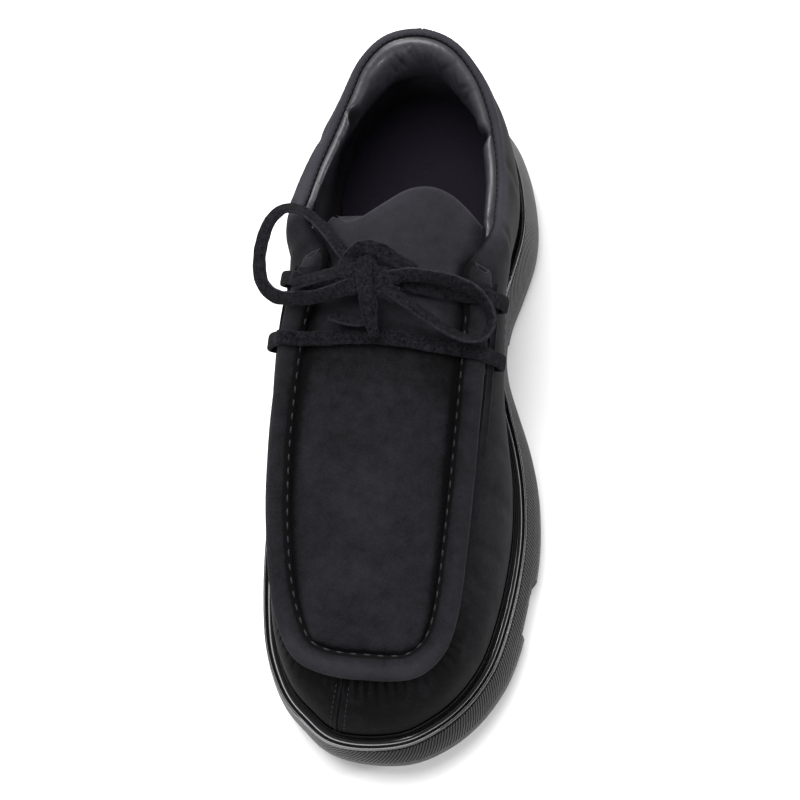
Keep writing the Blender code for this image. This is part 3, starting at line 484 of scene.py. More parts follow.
def suede_thong():
    """Split suede cut into a thong: a dark loose nap, no shine, and a painted highlight on its cut edges
    where their fibres catch the light.
    """
    made, tree, shader = finish("suede_thong_black", 0.95, sheen=0.01, sheen_roughness=0.55, specular=0.04)
    where = node(tree, "ShaderNodeTexCoord").outputs["Object"]
    clump = node(tree, "ShaderNodeTexNoise", Vector=where, Scale=1 / 0.0016, Detail=3.0, Roughness=0.7)
    fibre = node(tree, "ShaderNodeTexNoise", Vector=where, Scale=1 / 0.0005, Detail=2.0, Roughness=0.8)
    across = node(tree, "ShaderNodeSeparateXYZ", Vector=node(tree, "ShaderNodeUVMap").outputs["UV"])
    # painted highlight: the base colour grows lighter towards the thong's cut edges
    edge = node(tree, "ShaderNodeMapRange", Value=across.outputs["Y"], From_Min=0.86, From_Max=0.99,
                To_Min=0.0, To_Max=0.40)
    nap = node(tree, "ShaderNodeMath", {"operation": "ADD"}, in0=clump.outputs["Fac"],
               in1=fibre.outputs["Fac"])
    light = node(tree, "ShaderNodeMapRange", Value=nap.outputs["Value"], From_Min=0.75, From_Max=1.6)
    lit = node(tree, "ShaderNodeMath", {"operation": "ADD"}, in0=light.outputs["Result"],
               in1=edge.outputs["Result"])
    colour = node(tree, "ShaderNodeMix", {"data_type": "RGBA"}, in0=lit.outputs["Value"],
                  in6=hex_colour("#010102"), in7=hex_colour("#2b2b30"))
    tree.links.new(colour.outputs[2], shader.inputs["Base Color"])
    bump = node(tree, "ShaderNodeBump", Strength=0.9, Distance=0.0005, Height=nap.outputs["Value"])
    tree.links.new(bump.outputs["Normal"], shader.inputs["Normal"])
    return made


def glossy_rubber():
    """Rubber moulded in a polished mould: black, wet-looking, with faint drag lines along it."""
    made, tree, shader = finish("polished_rubber_black", 0.17, specular=0.5)
    lanes = node(tree, "ShaderNodeUVMap").outputs["UV"]
    drag = node(tree, "ShaderNodeMapping", Vector=lanes, Scale=(60.0, 2600.0, 1.0))
    line = node(tree, "ShaderNodeTexNoise", Vector=drag.outputs["Vector"], Scale=1.0, Detail=2.0)
    colour = node(tree, "ShaderNodeMix", {"data_type": "RGBA"}, in0=line.outputs["Fac"],
                  in6=hex_colour("#060607"), in7=hex_colour("#151517"))
    tree.links.new(colour.outputs[2], shader.inputs["Base Color"])
    rough = node(tree, "ShaderNodeMapRange", Value=line.outputs["Fac"], To_Min=0.12, To_Max=0.30)
    tree.links.new(rough.outputs["Result"], shader.inputs["Roughness"])
    bump = node(tree, "ShaderNodeBump", Strength=0.12, Distance=0.0001, Height=line.outputs["Fac"])
    tree.links.new(bump.outputs["Normal"], shader.inputs["Normal"])
    return made


def ribbed_rubber():
    """Rubber from an engraved mould: slanting ribs that turn to diamonds at its foot, satin."""
    made, tree, shader = finish("ribbed_rubber_black", 0.40, specular=0.40)
    uv = node(tree, "ShaderNodeSeparateXYZ", Vector=node(tree, "ShaderNodeUVMap").outputs["UV"])
    waves = []
    for lean in (0.9, -0.9):
        slant = node(tree, "ShaderNodeMath", {"operation": "MULTIPLY_ADD"}, in0=uv.outputs["Y"], in1=lean,
                     in2=uv.outputs["X"])
        turns = node(tree, "ShaderNodeMath", {"operation": "MULTIPLY"}, in0=slant.outputs["Value"],
                     in1=2 * math.pi / RIB_PITCH)
        wave = node(tree, "ShaderNodeMath", {"operation": "SINE"}, in0=turns.outputs["Value"])
        waves.append(wave.outputs["Value"])
    crossed = node(tree, "ShaderNodeMapRange", Value=uv.outputs["Y"], From_Min=0.006, From_Max=0.013,
                   To_Min=0.9, To_Max=0.0)
    relief = node(tree, "ShaderNodeMath", {"operation": "MULTIPLY_ADD"}, in0=waves[1],
                  in1=crossed.outputs["Result"], in2=waves[0])
    # painted shade in the grooves and painted highlight on the ribs: the base colour follows the relief
    light = node(tree, "ShaderNodeMapRange", Value=relief.outputs["Value"], From_Min=-0.6, From_Max=1.2)
    colour = node(tree, "ShaderNodeMix", {"data_type": "RGBA"}, in0=light.outputs["Result"],
                  in6=hex_colour("#010101"), in7=hex_colour("#2c2c2f"))
    tree.links.new(colour.outputs[2], shader.inputs["Base Color"])
    dust = node(tree, "ShaderNodeTexNoise", Vector=node(tree, "ShaderNodeTexCoord").outputs["Object"],
                Scale=1 / 0.009, Detail=3.0, Roughness=0.6)
    rough = node(tree, "ShaderNodeMapRange", Value=dust.outputs["Fac"], To_Min=0.32, To_Max=0.52)
    tree.links.new(rough.outputs["Result"], shader.inputs["Roughness"])
    bump = node(tree, "ShaderNodeBump", Strength=1.0, Distance=0.0009, Height=relief.outputs["Value"])
    tree.links.new(bump.outputs["Normal"], shader.inputs["Normal"])
    return made


def plain_rubber():
    """Crepe-like moulded tread: dull, with a fine sandblasted grain."""
    made, tree, shader = finish("matte_rubber_black", 0.62, specular=0.25)
    where = node(tree, "ShaderNodeTexCoord").outputs["Object"]
    scuff = node(tree, "ShaderNodeTexNoise", Vector=where, Scale=1 / 0.012, Detail=3.0, Roughness=0.6)
    grain = node(tree, "ShaderNodeTexNoise", Vector=where, Scale=1 / 0.0006, Detail=2.0, Roughness=0.6)
    colour = node(tree, "ShaderNodeMix", {"data_type": "RGBA"}, in0=scuff.outputs["Fac"],
                  in6=hex_colour("#070708"), in7=hex_colour("#171718"))
    tree.links.new(colour.outputs[2], shader.inputs["Base Color"])
    bump = node(tree, "ShaderNodeBump", Strength=0.3, Distance=0.00015, Height=grain.outputs["Fac"])
    tree.links.new(bump.outputs["Normal"], shader.inputs["Normal"])
    return made


def waxed_thread(name, dark, light):
    """Bonded nylon thread: two plies whose twist glints."""
    made, tree, shader = finish(name, 0.58, specular=0.22)
    twist = node(tree, "ShaderNodeTexWave", {"bands_direction": "DIAGONAL"},
                 Vector=node(tree, "ShaderNodeTexCoord").outputs["Object"], Scale=1 / 0.0016, Distortion=1.0)
    # painted glint: lighter stripes of base colour along the twist of the plies
    colour = node(tree, "ShaderNodeMix", {"data_type": "RGBA"}, in0=twist.outputs["Fac"],
                  in6=hex_colour(dark), in7=hex_colour(light))
    tree.links.new(colour.outputs[2], shader.inputs["Base Color"])
    bump = node(tree, "ShaderNodeBump", Strength=0.4, Distance=0.0001, Height=twist.outputs["Fac"])
    tree.links.new(bump.outputs["Normal"], shader.inputs["Normal"])
    return made


def footbed_cloth():
    """Brushed microfibre footbed: dull and very dark, a touch violet."""
    made, tree, shader = finish("microfibre_footbed_dark", 0.9, sheen=0.06, specular=0.1)
    nap = node(tree, "ShaderNodeTexNoise", Vector=node(tree, "ShaderNodeTexCoord").outputs["Object"],
               Scale=1 / 0.0008, Detail=2.0, Roughness=0.7)
    colour = node(tree, "ShaderNodeMix", {"data_type": "RGBA"}, in0=nap.outputs["Fac"],
                  in6=hex_colour("#0b090e"), in7=hex_colour("#1b1722"))
    tree.links.new(colour.outputs[2], shader.inputs["Base Color"])
    bump = node(tree, "ShaderNodeBump", Strength=0.3, Distance=0.0002, Height=nap.outputs["Fac"])
    tree.links.new(bump.outputs["Normal"], shader.inputs["Normal"])
    return made


NUBUCK_BLACK = nubuck()
CALF_LINING = calf_lining()
SUEDE_THONG = suede_thong()
GLOSSY_RUBBER = glossy_rubber()
RIBBED_RUBBER = ribbed_rubber()
MATTE_RUBBER = plain_rubber()
BLACK_THREAD = waxed_thread("waxed_thread_black", "#060607", "#2a2a2f")
PALE_THREAD = waxed_thread("bonded_thread_pale", "#8c8c88", "#d8d8d2")
FOOTBED = footbed_cloth()


# Meshes

def add_piece(name, points, faces, finishes, replaces=(), uvs=None, sides=None, sharp=40, shade=None):
    """Mesh piece from points in the sections' frame, riding on the shoe.

    shade is the painted light and shade at each point: above 0 for painted highlights and worn nap, below 0
    for painted shade, 0 for plain."""
    mesh = bpy.data.meshes.new(name)
    mesh.from_pydata([tuple(p + SHIFT) for p in np.asarray(points)], [], faces)
    if shade is not None:
        layer = mesh.attributes.new("shade", "FLOAT", "POINT")
        layer.data.foreach_set("value", np.asarray(shade, dtype=np.float32))
    if uvs is not None:
        layer = mesh.uv_layers.new(name="along_across")
        layer.data.foreach_set("uv", np.asarray(uvs, dtype=np.float32).ravel())
    for made in finishes if isinstance(finishes, (list, tuple)) else [finishes]:
        mesh.materials.append(made)
    if sides is not None:
        mesh.polygons.foreach_set("material_index", sides)
    work = bmesh.new()
    work.from_mesh(mesh)
    bmesh.ops.recalc_face_normals(work, faces=work.faces)
    work.to_mesh(mesh)
    work.free()
    mesh.shade_smooth()
    mesh.set_sharp_from_angle(angle=math.radians(sharp))
    piece = bpy.data.objects.new(name, mesh)
    bpy.context.collection.objects.link(piece)
    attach(piece, "root")
    if replaces:
        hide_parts(*replaces)
    return piece


def lengths(points):
    """Distance run at each point of a line."""
    points = np.asarray(points)
    return np.concatenate([[0.0], np.cumsum(np.linalg.norm(np.diff(points, axis=0), axis=1))])


def swept(name, sections, finishes, replaces=(), closed=False, sharp=40, shade=None, across=None):
    """Solid skin through closed sections, capped at both ends or joined into a ring.

    across is the second pattern coordinate of each column, the distance run if it isn't given."""
    sections = np.asarray(sections)
    runs, size = sections.shape[:2]
    loop = np.concatenate([sections, sections[:1]]) if closed else sections
    run = lengths(loop.mean(axis=1))
    if across is None:
        across = lengths(np.concatenate([sections[0], sections[0][:1]]))
    faces, uvs = [], []
    for k in range(len(loop) - 1):
        n = (k + 1) % runs
        for i in range(size):
            j = (i + 1) % size
            faces.append((k * size + i, k * size + j, n * size + j, n * size + i))
            here, ahead, low, high = run[k], run[k + 1], across[i], across[i + 1]
            uvs += [(here, low), (here, high), (ahead, high), (ahead, low)]
    if not closed:
        for cap in (tuple(range(size)), tuple(range((runs - 1) * size, runs * size))):
            faces.append(cap)
            uvs += [(0.0, across[i]) for i in range(size)]
    return add_piece(name, sections.reshape(-1, 3), faces, finishes, replaces, uvs, None, sharp, shade)


def smooth_path(stops, count):
    """Evenly spaced points on a smooth curve through a route's stops."""
    stops = [np.array(p, dtype=float) for p in stops]
    padded = [2 * stops[0] - stops[1]] + stops + [2 * stops[-1] - stops[-2]]
    fine = []
    for k in range(1, len(padded) - 2):
        a, b, c, d = padded[k - 1:k + 3]
        for n in range(16):
            t = n / 16
            fine.append(0.5 * (2 * b + (c - a) * t + (2 * a - 5 * b + 4 * c - d) * t**2
                               + (3 * b - a - 3 * c + d) * t**3))
    fine.append(stops[-1])
    run = lengths(fine)
    wanted = np.linspace(0.0, run[-1], count)
    fine = np.array(fine)
    return np.stack([np.interp(wanted, run, fine[:, axis]) for axis in range(fine.shape[1])], axis=1)


BAND_POINTS = 20           # points round a thong's outline
# How near the edge each of them lies, from 0 in the middle of a face to 1
BAND_ACROSS = [abs(math.cos(2 * math.pi * (k + 0.5) / BAND_POINTS)) for k in range(BAND_POINTS + 1)]


def band_section(point, run, wide, width, thickness):
    """Closed outline of a flat thong with rounded edges."""
    thick = unit(np.cross(run, wide))
    ring = []
    for k in range(BAND_POINTS):
        angle = 2 * math.pi * (k + 0.5) / BAND_POINTS
        c, s = math.cos(angle), math.sin(angle)
        ring.append(point + wide * math.copysign(abs(c)**0.45, c) * width / 2
                    + thick * math.copysign(abs(s)**0.55, s) * thickness / 2)
    return ring


def ribbon(name, path, tilts, width=LACE_WIDTH, thickness=LACE_THICKNESS, replaces=(), point_end=False):
    """Thong along a path: tilts are degrees about its own run, 0 with its face up."""
    path = np.asarray(path)
    count = len(path)
    angles = np.radians(np.interp(np.linspace(0, 1, count), np.linspace(0, 1, len(tilts)), tilts))
    rng = random.Random(len(name) * 7 + count)
    phases = [rng.uniform(0, 6.28) for _ in range(4)]
    sections = []
    for k, point in enumerate(path):
        run = unit(path[min(k + 1, count - 1)] - path[max(k - 1, 0)])
        level = np.cross(UP, run)
        level = unit(level) if np.linalg.norm(level) > 1e-6 else np.array([1.0, 0, 0])
        face = np.cross(run, level)
        wide = level * math.cos(angles[k]) + face * math.sin(angles[k])
        s = k * 0.35
        ragged = 1 + 0.035 * math.sin(1.9 * s + phases[0]) + 0.03 * math.sin(4.3 * s + phases[1])
        pinch = 1.0
        if point_end:
            pinch = 1 - 0.30 * smooth((k / (count - 1) - 0.70) / 0.30)
        thick = thickness * (1 + 0.06 * math.sin(3.1 * s + phases[2]))
        sections.append(band_section(point, run, wide, width * ragged * pinch, thick))
    return swept(name, sections, SUEDE_THONG, replaces, sharp=60, across=BAND_ACROSS)


# The camera and the lace's free cords come first

CAMERA_TILT = math.radians(73.5)
CAMERA_DISTANCE = 1.140
FOCAL_PIXELS = 2590.0
PICTURE_PIXELS = 800
SENSOR_MM = 36.0
SHOE_IN_PICTURE = Matrix.Translation((-0.0775, -0.0147, 0.0)) @ Matrix.Rotation(math.radians(-4.6), 4, "Z")
AIM = Vector((-0.0025, 0.0045, 0.030))


def make_camera():
    """Camera of the picture, turned about itself until this shoe is in the middle."""
    eye = Vector((0.0, -CAMERA_DISTANCE * math.cos(CAMERA_TILT), CAMERA_DISTANCE * math.sin(CAMERA_TILT)))
    picture = Matrix.Translation(eye) @ (-eye).to_track_quat("-Z", "Y").to_matrix().to_4x4()
    placed = Matrix.Translation(Vector(SHIFT)) @ SHOE_IN_PICTURE.inverted() @ picture
    lens = bpy.data.cameras.new("camera")
    lens.lens = FOCAL_PIXELS / PICTURE_PIXELS * SENSOR_MM
    lens.sensor_width = SENSOR_MM
    lens.clip_start = 0.01
    camera = bpy.data.objects.new("camera", lens)
    bpy.context.collection.objects.link(camera)
    spot = placed.to_translation()
    back = (spot - (AIM + Vector(SHIFT))).normalized()
    up = placed.to_3x3() @ Vector((0, 1, 0))
    right = up.cross(back).normalized()
    turned = Matrix((right, back.cross(right), back)).transposed().to_4x4()
    camera.matrix_world = Matrix.Translation(spot) @ turned
    bpy.context.scene.camera = camera


def dock(stop):
    """Point just clear of the knot's side, in the direction of a route's end, and the level way out."""
    centre, half = np.array(KNOT_AT), np.array(KNOT_HALF)
    away = (np.array(stop) - centre) * (1, 1, 0)
    side = away / np.linalg.norm(away / half)
    way = unit(side / half**2)
    return (centre + side) * MM + way * CLEARANCE, way


def loop_path(route, count):
    stops = [np.array(stop) * MM for stop in route]
    start, start_way = dock(route[0])
    last, last_way = dock(route[-1])
    inside = LACE_TUBE / 2
    stops = [start - start_way * inside, start + start_way * inside] + stops[1:-1] + [
        last + last_way * inside, last - last_way * inside]
    return smooth_path(stops, count)


def make_bow():
    """Two loops, two ends and the crossed bands of the knot."""
    medial = loop_path(MEDIAL_LOOP, 90)
    lateral = loop_path(LATERAL_LOOP, 80)
    arch = smooth_path([np.array(s) * MM for s in KNOT_ARCH], 36)
    strip = smooth_path([np.array(s) * MM for s in KNOT_STRIP], 40)
    inside = [ribbon(name, smooth_path([np.array(s) * MM for s in route], 24), (0, 0), width=7.2 * MM,
                     thickness=3.0 * MM, replaces=("knot",))
              for name, route in (("knot_upper_band", KNOT_UPPER), ("knot_lower_band", KNOT_LOWER))]
    over = ribbon("knot_crossing", arch, (30, 35, 20, 0, -30), replaces=("knot",))
    front = ribbon("knot_strip", strip, (0, 0, 0, -8, -10), point_end=True)
    first = ribbon("bow_loop_medial", medial, (20, 40, 45, 30, 30, 40, 45, 30), replaces=("bow_medial",))
    second = ribbon("bow_loop_lateral", lateral, (40, 50, 55, 60, 55, 45, 40, 30), replaces=("bow_lateral",))
    for name, route, tilts, node_name in (
            ("bow_end_medial", MEDIAL_END, (20, 25, 30, 30), "lace_end_medial"),
            ("bow_end_lateral", LATERAL_END, (0, 5, 25, 30, 30), "lace_end_lateral")):
        path = smooth_path([np.array(s) * MM for s in route], 44)
        ribbon(name, path, tilts, replaces=(node_name,))


# Upper

WALL_STEPS = 34
# Length of one row along the shoe, in metres, at its sides, toe, heel and the ends of the roll
SIDE_ROW_RUN = 0.0145
TOE_ROW_RUN = 0.0155
HEEL_ROW_RUN = 0.016
BEAD_ROW_RUN = 0.0185
PUCKER_PITCH = 0.0034
# Troughs across the wall: row, side, level at its foot and head, lean in rows, width and depth in mm
WALL_CREASES = (
    (6.2, 1, 0.25, 0.85, 0.35, 5.0, 0.45), (7.1, 1, 0.30, 0.90, 0.30, 4.0, 0.55),
    (8.3, 1, 0.20, 0.80, 0.25, 5.5, 0.50), (9.4, 1, 0.35, 0.90, 0.20, 4.5, 0.40),
    (6.0, -1, 0.25, 0.85, 0.35, 5.0, 0.40), (7.3, -1, 0.30, 0.88, 0.30, 4.5, 0.55),
    (8.6, -1, 0.20, 0.80, 0.25, 5.0, 0.45), (13.6, -1, 0.55, 1.00, 0.25, 4.0, 0.70),
    (14.4, -1, 0.50, 0.95, 0.30, 5.0, 0.55), (14.2, 1, 0.55, 1.00, 0.25, 4.0, 0.60),
    (16.4, 1, 0.40, 0.95, 0.20, 6.0, 0.45), (16.8, -1, 0.40, 0.95, 0.20, 6.0, 0.50),
    (18.6, 1, 0.20, 0.80, 0.10, 7.0, 0.35), (18.9, -1, 0.20, 0.80, 0.10, 7.0, 0.35),
)
# Soft folds of the apron: ends in mm, width and depth in mm (a ridge where negative)
APRON_CREASES = (
    (-30, -72, 10, -80, 4.0, 0.35), (-24, -80, 16, -90, 3.2, 0.30), (-26, -64, 22, -70, 5.0, -0.30),
    (-34, -50, 24, -58, 6.0, 0.40), (-10, -92, 18, -86, 2.6, 0.28), (-20, -98, 4, -102, 2.4, 0.25),
    (6, -76, 22, -66, 3.0, 0.28), (-36, -34, 26, -40, 7.0, 0.35), (-34, -20, -6, -16, 5.0, 0.30),
)
TOP_RUN = lengths([top(p) for p in fine_places() + [ROWS]])


def run_at(place):
    """Distance round the top edge at a place."""
    return float(np.interp(place % ROWS, np.linspace(0, ROWS, len(TOP_RUN)), TOP_RUN))


def wall_places():
    """Places of the wall's columns, closer together at the toe's gathers and at both seams."""
    places = set(round(k * STEP, 4) for k in range(round(ROWS / STEP)))
    places |= set(round(p, 4) for p in np.arange(15.6, 27.2, 0.035))
    for seam in (TOE_SEAM, 0.0):
        places |= set(round((seam + k * 0.012) % ROWS, 4) for k in range(-22, 23))
    return sorted(places)


def pucker(place, level):
    """Gathers of the wall under the roll around the toe, 0 to 1."""
    reach = 1 - smooth((abs(TOE_ROW + 0.2 - place) - 3.4) / 1.8)
    if reach <= 0 or level < 0.5:
        return 0.0
    s = run_at(place)
    wave = math.sin(2 * math.pi * s / PUCKER_PITCH + 0.9 * math.sin(s / 0.011) + 0.6 * math.sin(s / 0.0043))
    uneven = 0.55 + 0.45 * math.sin(s / 0.0061 + 1.0)
    length = 0.20 + 0.07 * math.sin(s / 0.0037)
    fade = smooth((level - 0.80 + length) / length)
    return reach * uneven * fade * (0.5 + 0.5 * wave)**3


def wall_relief(place, level):
    """How far the wall's surface lies outside its plain form."""
    out = -0.0013 * pucker(place, level)
    for row, side, low, high, lean, width, depth in WALL_CREASES:
        centre = around(row + lean * (level - 0.5), side)
        gap = wrapped(place, centre)
        if abs(gap) > 2:
            continue
        offset = gap * SIDE_ROW_RUN / (width * MM)
        window = smooth((level - low) / 0.2)
        if high < 1:
            window *= 1 - smooth((level - high) / 0.12)
        out += -depth * MM * window * (hump(2 * offset) - 0.45 * hump(2 * (offset - 0.9)))
    seam = abs(place - TOE_SEAM) * TOE_ROW_RUN
    if seam < 0.006:
        out += 0.0006 * hump(seam / 0.0015) - 0.0011 * hump(seam / 0.00045)
    back = abs(wrapped(place, 0.0)) * HEEL_ROW_RUN
    if back < 0.006:
        out += 0.0003 * hump(back / 0.0018) - 0.0006 * hump(back / 0.0003)
    return out


# Profile of the collar's lining from the seam inwards and down, in mm: drop below the top edge,
# distance in from the wall at the sides and at the heel
LINING_PROFILE = (
    (0.9, 3.6, 3.2), (0.2, 4.4, 3.9), (0.0, 5.6, 5.2), (0.5, 7.0, 6.8), (1.8, 8.6, 8.6), (4.2, 9.8, 10.6),
    (8.0, 10.2, 12.4), (13.0, 9.4, 13.6), (19.0, 7.4, 13.6), (26.0, 5.6, 12.0), (33.0, 4.6, 9.0),
    (41.0, 4.2, 5.4),
)
LINING_STEPS = 40


def wrapped(place, centre):
    """Rows from a centre to a place, the short way round."""
    return (place - centre + ROWS / 2) % ROWS - ROWS / 2


@lru_cache(maxsize=None)
def lining_line(place):
    """The lining's visible line at a place: points from the collar seam down to the footbed."""
    pad, heel = collar_share(place), smooth((row_of(place) - 17.2) / 2.2)
    notch = max(hump(wrapped(place, around(row, side)) / 0.20) for row, side in ((17.3, 1), (17.7, -1)))
    edge, inwards = top(place), -outward(top, place)
    floor = foot(place) + UP * WALL * 2
    wall = np.array([skin(place, level) for level in np.linspace(0.0, 1.0, 26)])
    stops = []
    for drop, side_in, heel_in in LINING_PROFILE:
        reach = side_in + (heel_in - side_in) * heel
        reach = 3.4 + (reach - 3.4) * (1 - 0.50 * notch) if reach > 3.4 else reach
        reach = pad * reach + (1 - pad) * 5.2
        height = edge[2] - (drop + (1 - pad) * 3.0) * MM
        if height < floor[2] + 6 * MM:
            break
        beside = np.array([np.interp(height, wall[:, 2], wall[:, axis]) for axis in range(3)])
        stops.append(beside + inwards * reach * MM)
    low = floor + inwards * 0.0042
    last = stops[-1]
    stops.append(last + (low - last) * 0.5)
    stops.append(low)
    line = smooth_path(stops, LINING_STEPS + 1)
    return line


def lining_point(place, share):
    line = lining_line(place)
    steps = range(LINING_STEPS + 1)
    return np.array([np.interp(share * LINING_STEPS, steps, line[:, axis]) for axis in range(3)])


# The leather turned over the collar's edge: in and up from the edge, in mm
CREST_PROFILE = ((0.5, 0.45), (1.4, 0.75), (2.4, 0.7), (3.2, 0.3), (3.5, -0.4), (3.4, -1.6))


def make_wall():
    """Vamp and quarters in nubuck, gathered under the roll and seamed at the toe and heel."""
    sections, shade = [], []
    for place in wall_places():
        base, out = foot(place), outward(foot, place)
        pad = collar_share(place)
        toe = 1 - smooth((abs(TOE_ROW - place) - 3.5) / 3)
        outer = []
        for k in range(WALL_STEPS + 1):
            level = 0.01 + 0.99 * k / WALL_STEPS
            relief = wall_relief(place, level)
            outer.append(skin(place, level) + wall_normal(place, level) * relief)
            # painted light on the wall: lighter along the collar's top (painted highlight, partly worn nap),
            # darker round the toe and at the wall's foot by the welt (painted shade)
            painted_light_and_wear = (0.01 + 0.30 * pad * smooth((level - 0.80) / 0.20) - 0.07 * toe
                      - 0.08 * hump(level / 0.07))
            # painted highlight on the creases' ridges, painted shade in their troughs and in the gathers
            # under the roll
            shade.append(painted_light_and_wear + min(0.04, 0.05 * relief / MM) - 0.16 * pucker(place, level))
        edge, inwards = top(place), -outward(top, place)
        flat = [skin(place, 1 + o) for o in (0.15, 0.35, 0.55, 0.75, 1.0)]
        flat.append(flat[-1] - UP * NUBUCK)
        rolled = [edge + (inwards * i + UP * z) * MM for i, z in CREST_PROFILE]
        over = [(1 - pad) * a + pad * b for a, b in zip(flat, rolled)]
        # painted highlight along the collar's turned edge (partly worn nap), painted shade on its inner side
        shade += [0.30 * pad, 0.30 * pad, 0.22 * pad, 0.0, -0.15 * pad, -0.2 * pad]
        inner = []
        for k in range(WALL_STEPS, -1, -3):
            level = 0.01 + 0.94 * k / WALL_STEPS
            inner.append(skin(place, level) - wall_normal(place, level) * NUBUCK)
        inner.append(base - out * 0.004 + UP * CLEARANCE)
        shade += [0.0] * len(inner)
        sections.append(outer + over + inner)
    return swept("vamp_and_quarters", sections, NUBUCK_BLACK, ("upper",), closed=True, sharp=50,
                 shade=shade)


def make_lining():
    """Padded collar lining: from the seam over the pad and down the inside to the footbed."""
    rng = random.Random(5)
    folds = []
    for _ in range(46):
        row = rng.uniform(14.6, 20.9) if rng.random() < 0.6 else rng.uniform(18.6, 20.9)
        folds.append((around(row, rng.choice((-1, 1))), rng.uniform(0.08, 0.42), rng.uniform(-0.9, 0.9),
                      rng.uniform(0.25, 0.8), rng.uniform(0.03, 0.08)))
    sections = []
    for place in fine_places(0.05):
        line = lining_line(place)
        inwards, pad = -outward(top, place), collar_share(place)
        inner = []
        for k in range(LINING_STEPS + 1):
            share = k / LINING_STEPS
            crumple = 0.0
            for centre, middle, lean, depth, reach in folds:
                gap = wrapped(place, centre + lean * (share - middle) * 4) * SIDE_ROW_RUN
                if abs(gap) < 0.004:
                    crumple += depth * MM * hump(gap / 0.0009) * hump((share - middle) / reach)
            inner.append(line[k] - inwards * crumple * pad)
        behind = [line[k] - inwards * 0.0022 for k in range(LINING_STEPS, -1, -4)]
        sections.append(inner + behind)
    piece = swept("collar_lining", sections, CALF_LINING, closed=True, sharp=60)
    return piece


def plug_grid(across, down):
    """Crowned apron between the two long sides and the toe arc of the stitch line."""
    def edge(place):
        return skin(place, 1.96)
    first, second = around(PLUG_END, 1), around(TOE_CORNER, 1)
    third, fourth = around(TOE_CORNER, -1), around(PLUG_END, -1)
    lateral = [edge(first + (second - first) * j / down) for j in range(down + 1)]
    medial = [edge(fourth + (third - fourth) * j / down) for j in range(down + 1)]
    toe = [edge(second + (third - second) * i / across) for i in range(across + 1)]
    throat = [lateral[0] + (medial[0] - lateral[0]) * u / across
              + UP * THROAT_CROWN * math.sin(math.pi * u / across) for u in range(across + 1)]
    grid = []
    for i in range(across + 1):
        u, line = i / across, []
        for j in range(down + 1):
            s = j / down
            ruled = (1 - s) * throat[i] + s * toe[i] + (1 - u) * lateral[j] + u * medial[j]
            corners = ((1 - u) * (1 - s) * lateral[0] + u * (1 - s) * medial[0]
                       + (1 - u) * s * toe[0] + u * s * toe[-1])
            crown = BALL_CROWN * math.sin(math.pi * u) * math.sin(math.pi * s**0.8)
            point = ruled - corners + UP * crown
            point = point + UP * apron_relief(point, min(u, 1 - u, 1 - s))
            line.append(point)
        grid.append(line)
    return np.array(grid)


def apron_relief(point, inset):
    """Soft folds of the apron, and its sinking towards the seam."""
    out = -0.0009 * hump(inset / 0.035)
    x, y = point[0] / MM, point[1] / MM
    for x0, y0, x1, y1, width, depth in APRON_CREASES:
        dx, dy = x1 - x0, y1 - y0
        t = ((x - x0) * dx + (y - y0) * dy) / (dx * dx + dy * dy)
        held = min(max(t, 0.0), 1.0)
        bow = 2.2 * math.sin(math.pi * held)
        gap = math.hypot(x - x0 - held * dx, y - y0 - held * dy + bow)
        ends = math.sin(math.pi * held)**0.7 if 0 < t < 1 else 0.0
        out -= 1.7 * depth * MM * ends * hump(gap / width) * smooth(inset / 0.08)
    return out


def make_apron():
    across, down = 72, 108
    grid = plug_grid(across, down)
    points = list(grid.reshape(-1, 3))
    count = len(points)
    below = [p - UP * NUBUCK for p in points]
    faces = []
    for i in range(across):
        for j in range(down):
            a = i * (down + 1) + j
            faces.append((a, a + down + 1, a + down + 2, a + 1))
    faces += [tuple(v + count for v in reversed(face)) for face in faces]
    edge = [i * (down + 1) for i in range(across + 1)]
    edge += [across * (down + 1) + j for j in range(1, down + 1)]
    edge += [i * (down + 1) + down for i in range(across - 1, -1, -1)]
    edge += [j for j in range(down - 1, 0, -1)]
    for a, b in zip(edge, edge[1:] + edge[:1]):
        faces.append((a, b, b + count, a + count))
    shade = []
    for i in range(across + 1):
        for j in range(down + 1):
            inset = min(i / across, 1 - i / across, 1.2 * (1 - j / down))
            # painted shade: darker towards the throat under the laces and along the sunken seam round the
            # apron
            shade.append(0.03 - 0.07 * hump(j / down / 0.12) - 0.14 * hump(inset / 0.06))
    return add_piece("apron", points + below, faces, NUBUCK_BLACK, sharp=50, shade=shade + shade)


# Ends of the roll: distance from the end as a share of ROLL_WIDTH, size of the section there
BEAD_PROFILE = ((0.00, 0.74), (0.03, 0.92), (0.10, 1.08), (0.25, 1.17), (0.50, 1.22), (0.75, 1.20),
                (0.95, 1.10), (1.08, 0.95), (1.16, 0.86), (1.24, 0.90), (1.34, 0.98))
BEAD_TOP = BEAD + 0.2      # row where each end of the roll stops


def roll_stops():
    run = np.linalg.norm(top(around(BEAD, 1) + 0.5) - top(around(BEAD, 1))) * 2
    first, last = around(BEAD_TOP, 1), around(BEAD_TOP, -1)
    fine = np.linspace(0.0, BEAD_PROFILE[-1][0], 24)
    sizes = np.interp(fine, [d for d, _ in BEAD_PROFILE], [s for _, s in BEAD_PROFILE])
    ends = [(distance * ROLL_WIDTH / run, size) for distance, size in zip(fine, sizes)]
    inside = ends[-1][0] + 0.08
    middle = [(first + inside + (last - first - 2 * inside) * k / 250, 1.0) for k in range(251)]
    return [(first + d, s) for d, s in ends] + middle + [(last - d, s) for d, s in reversed(ends)]


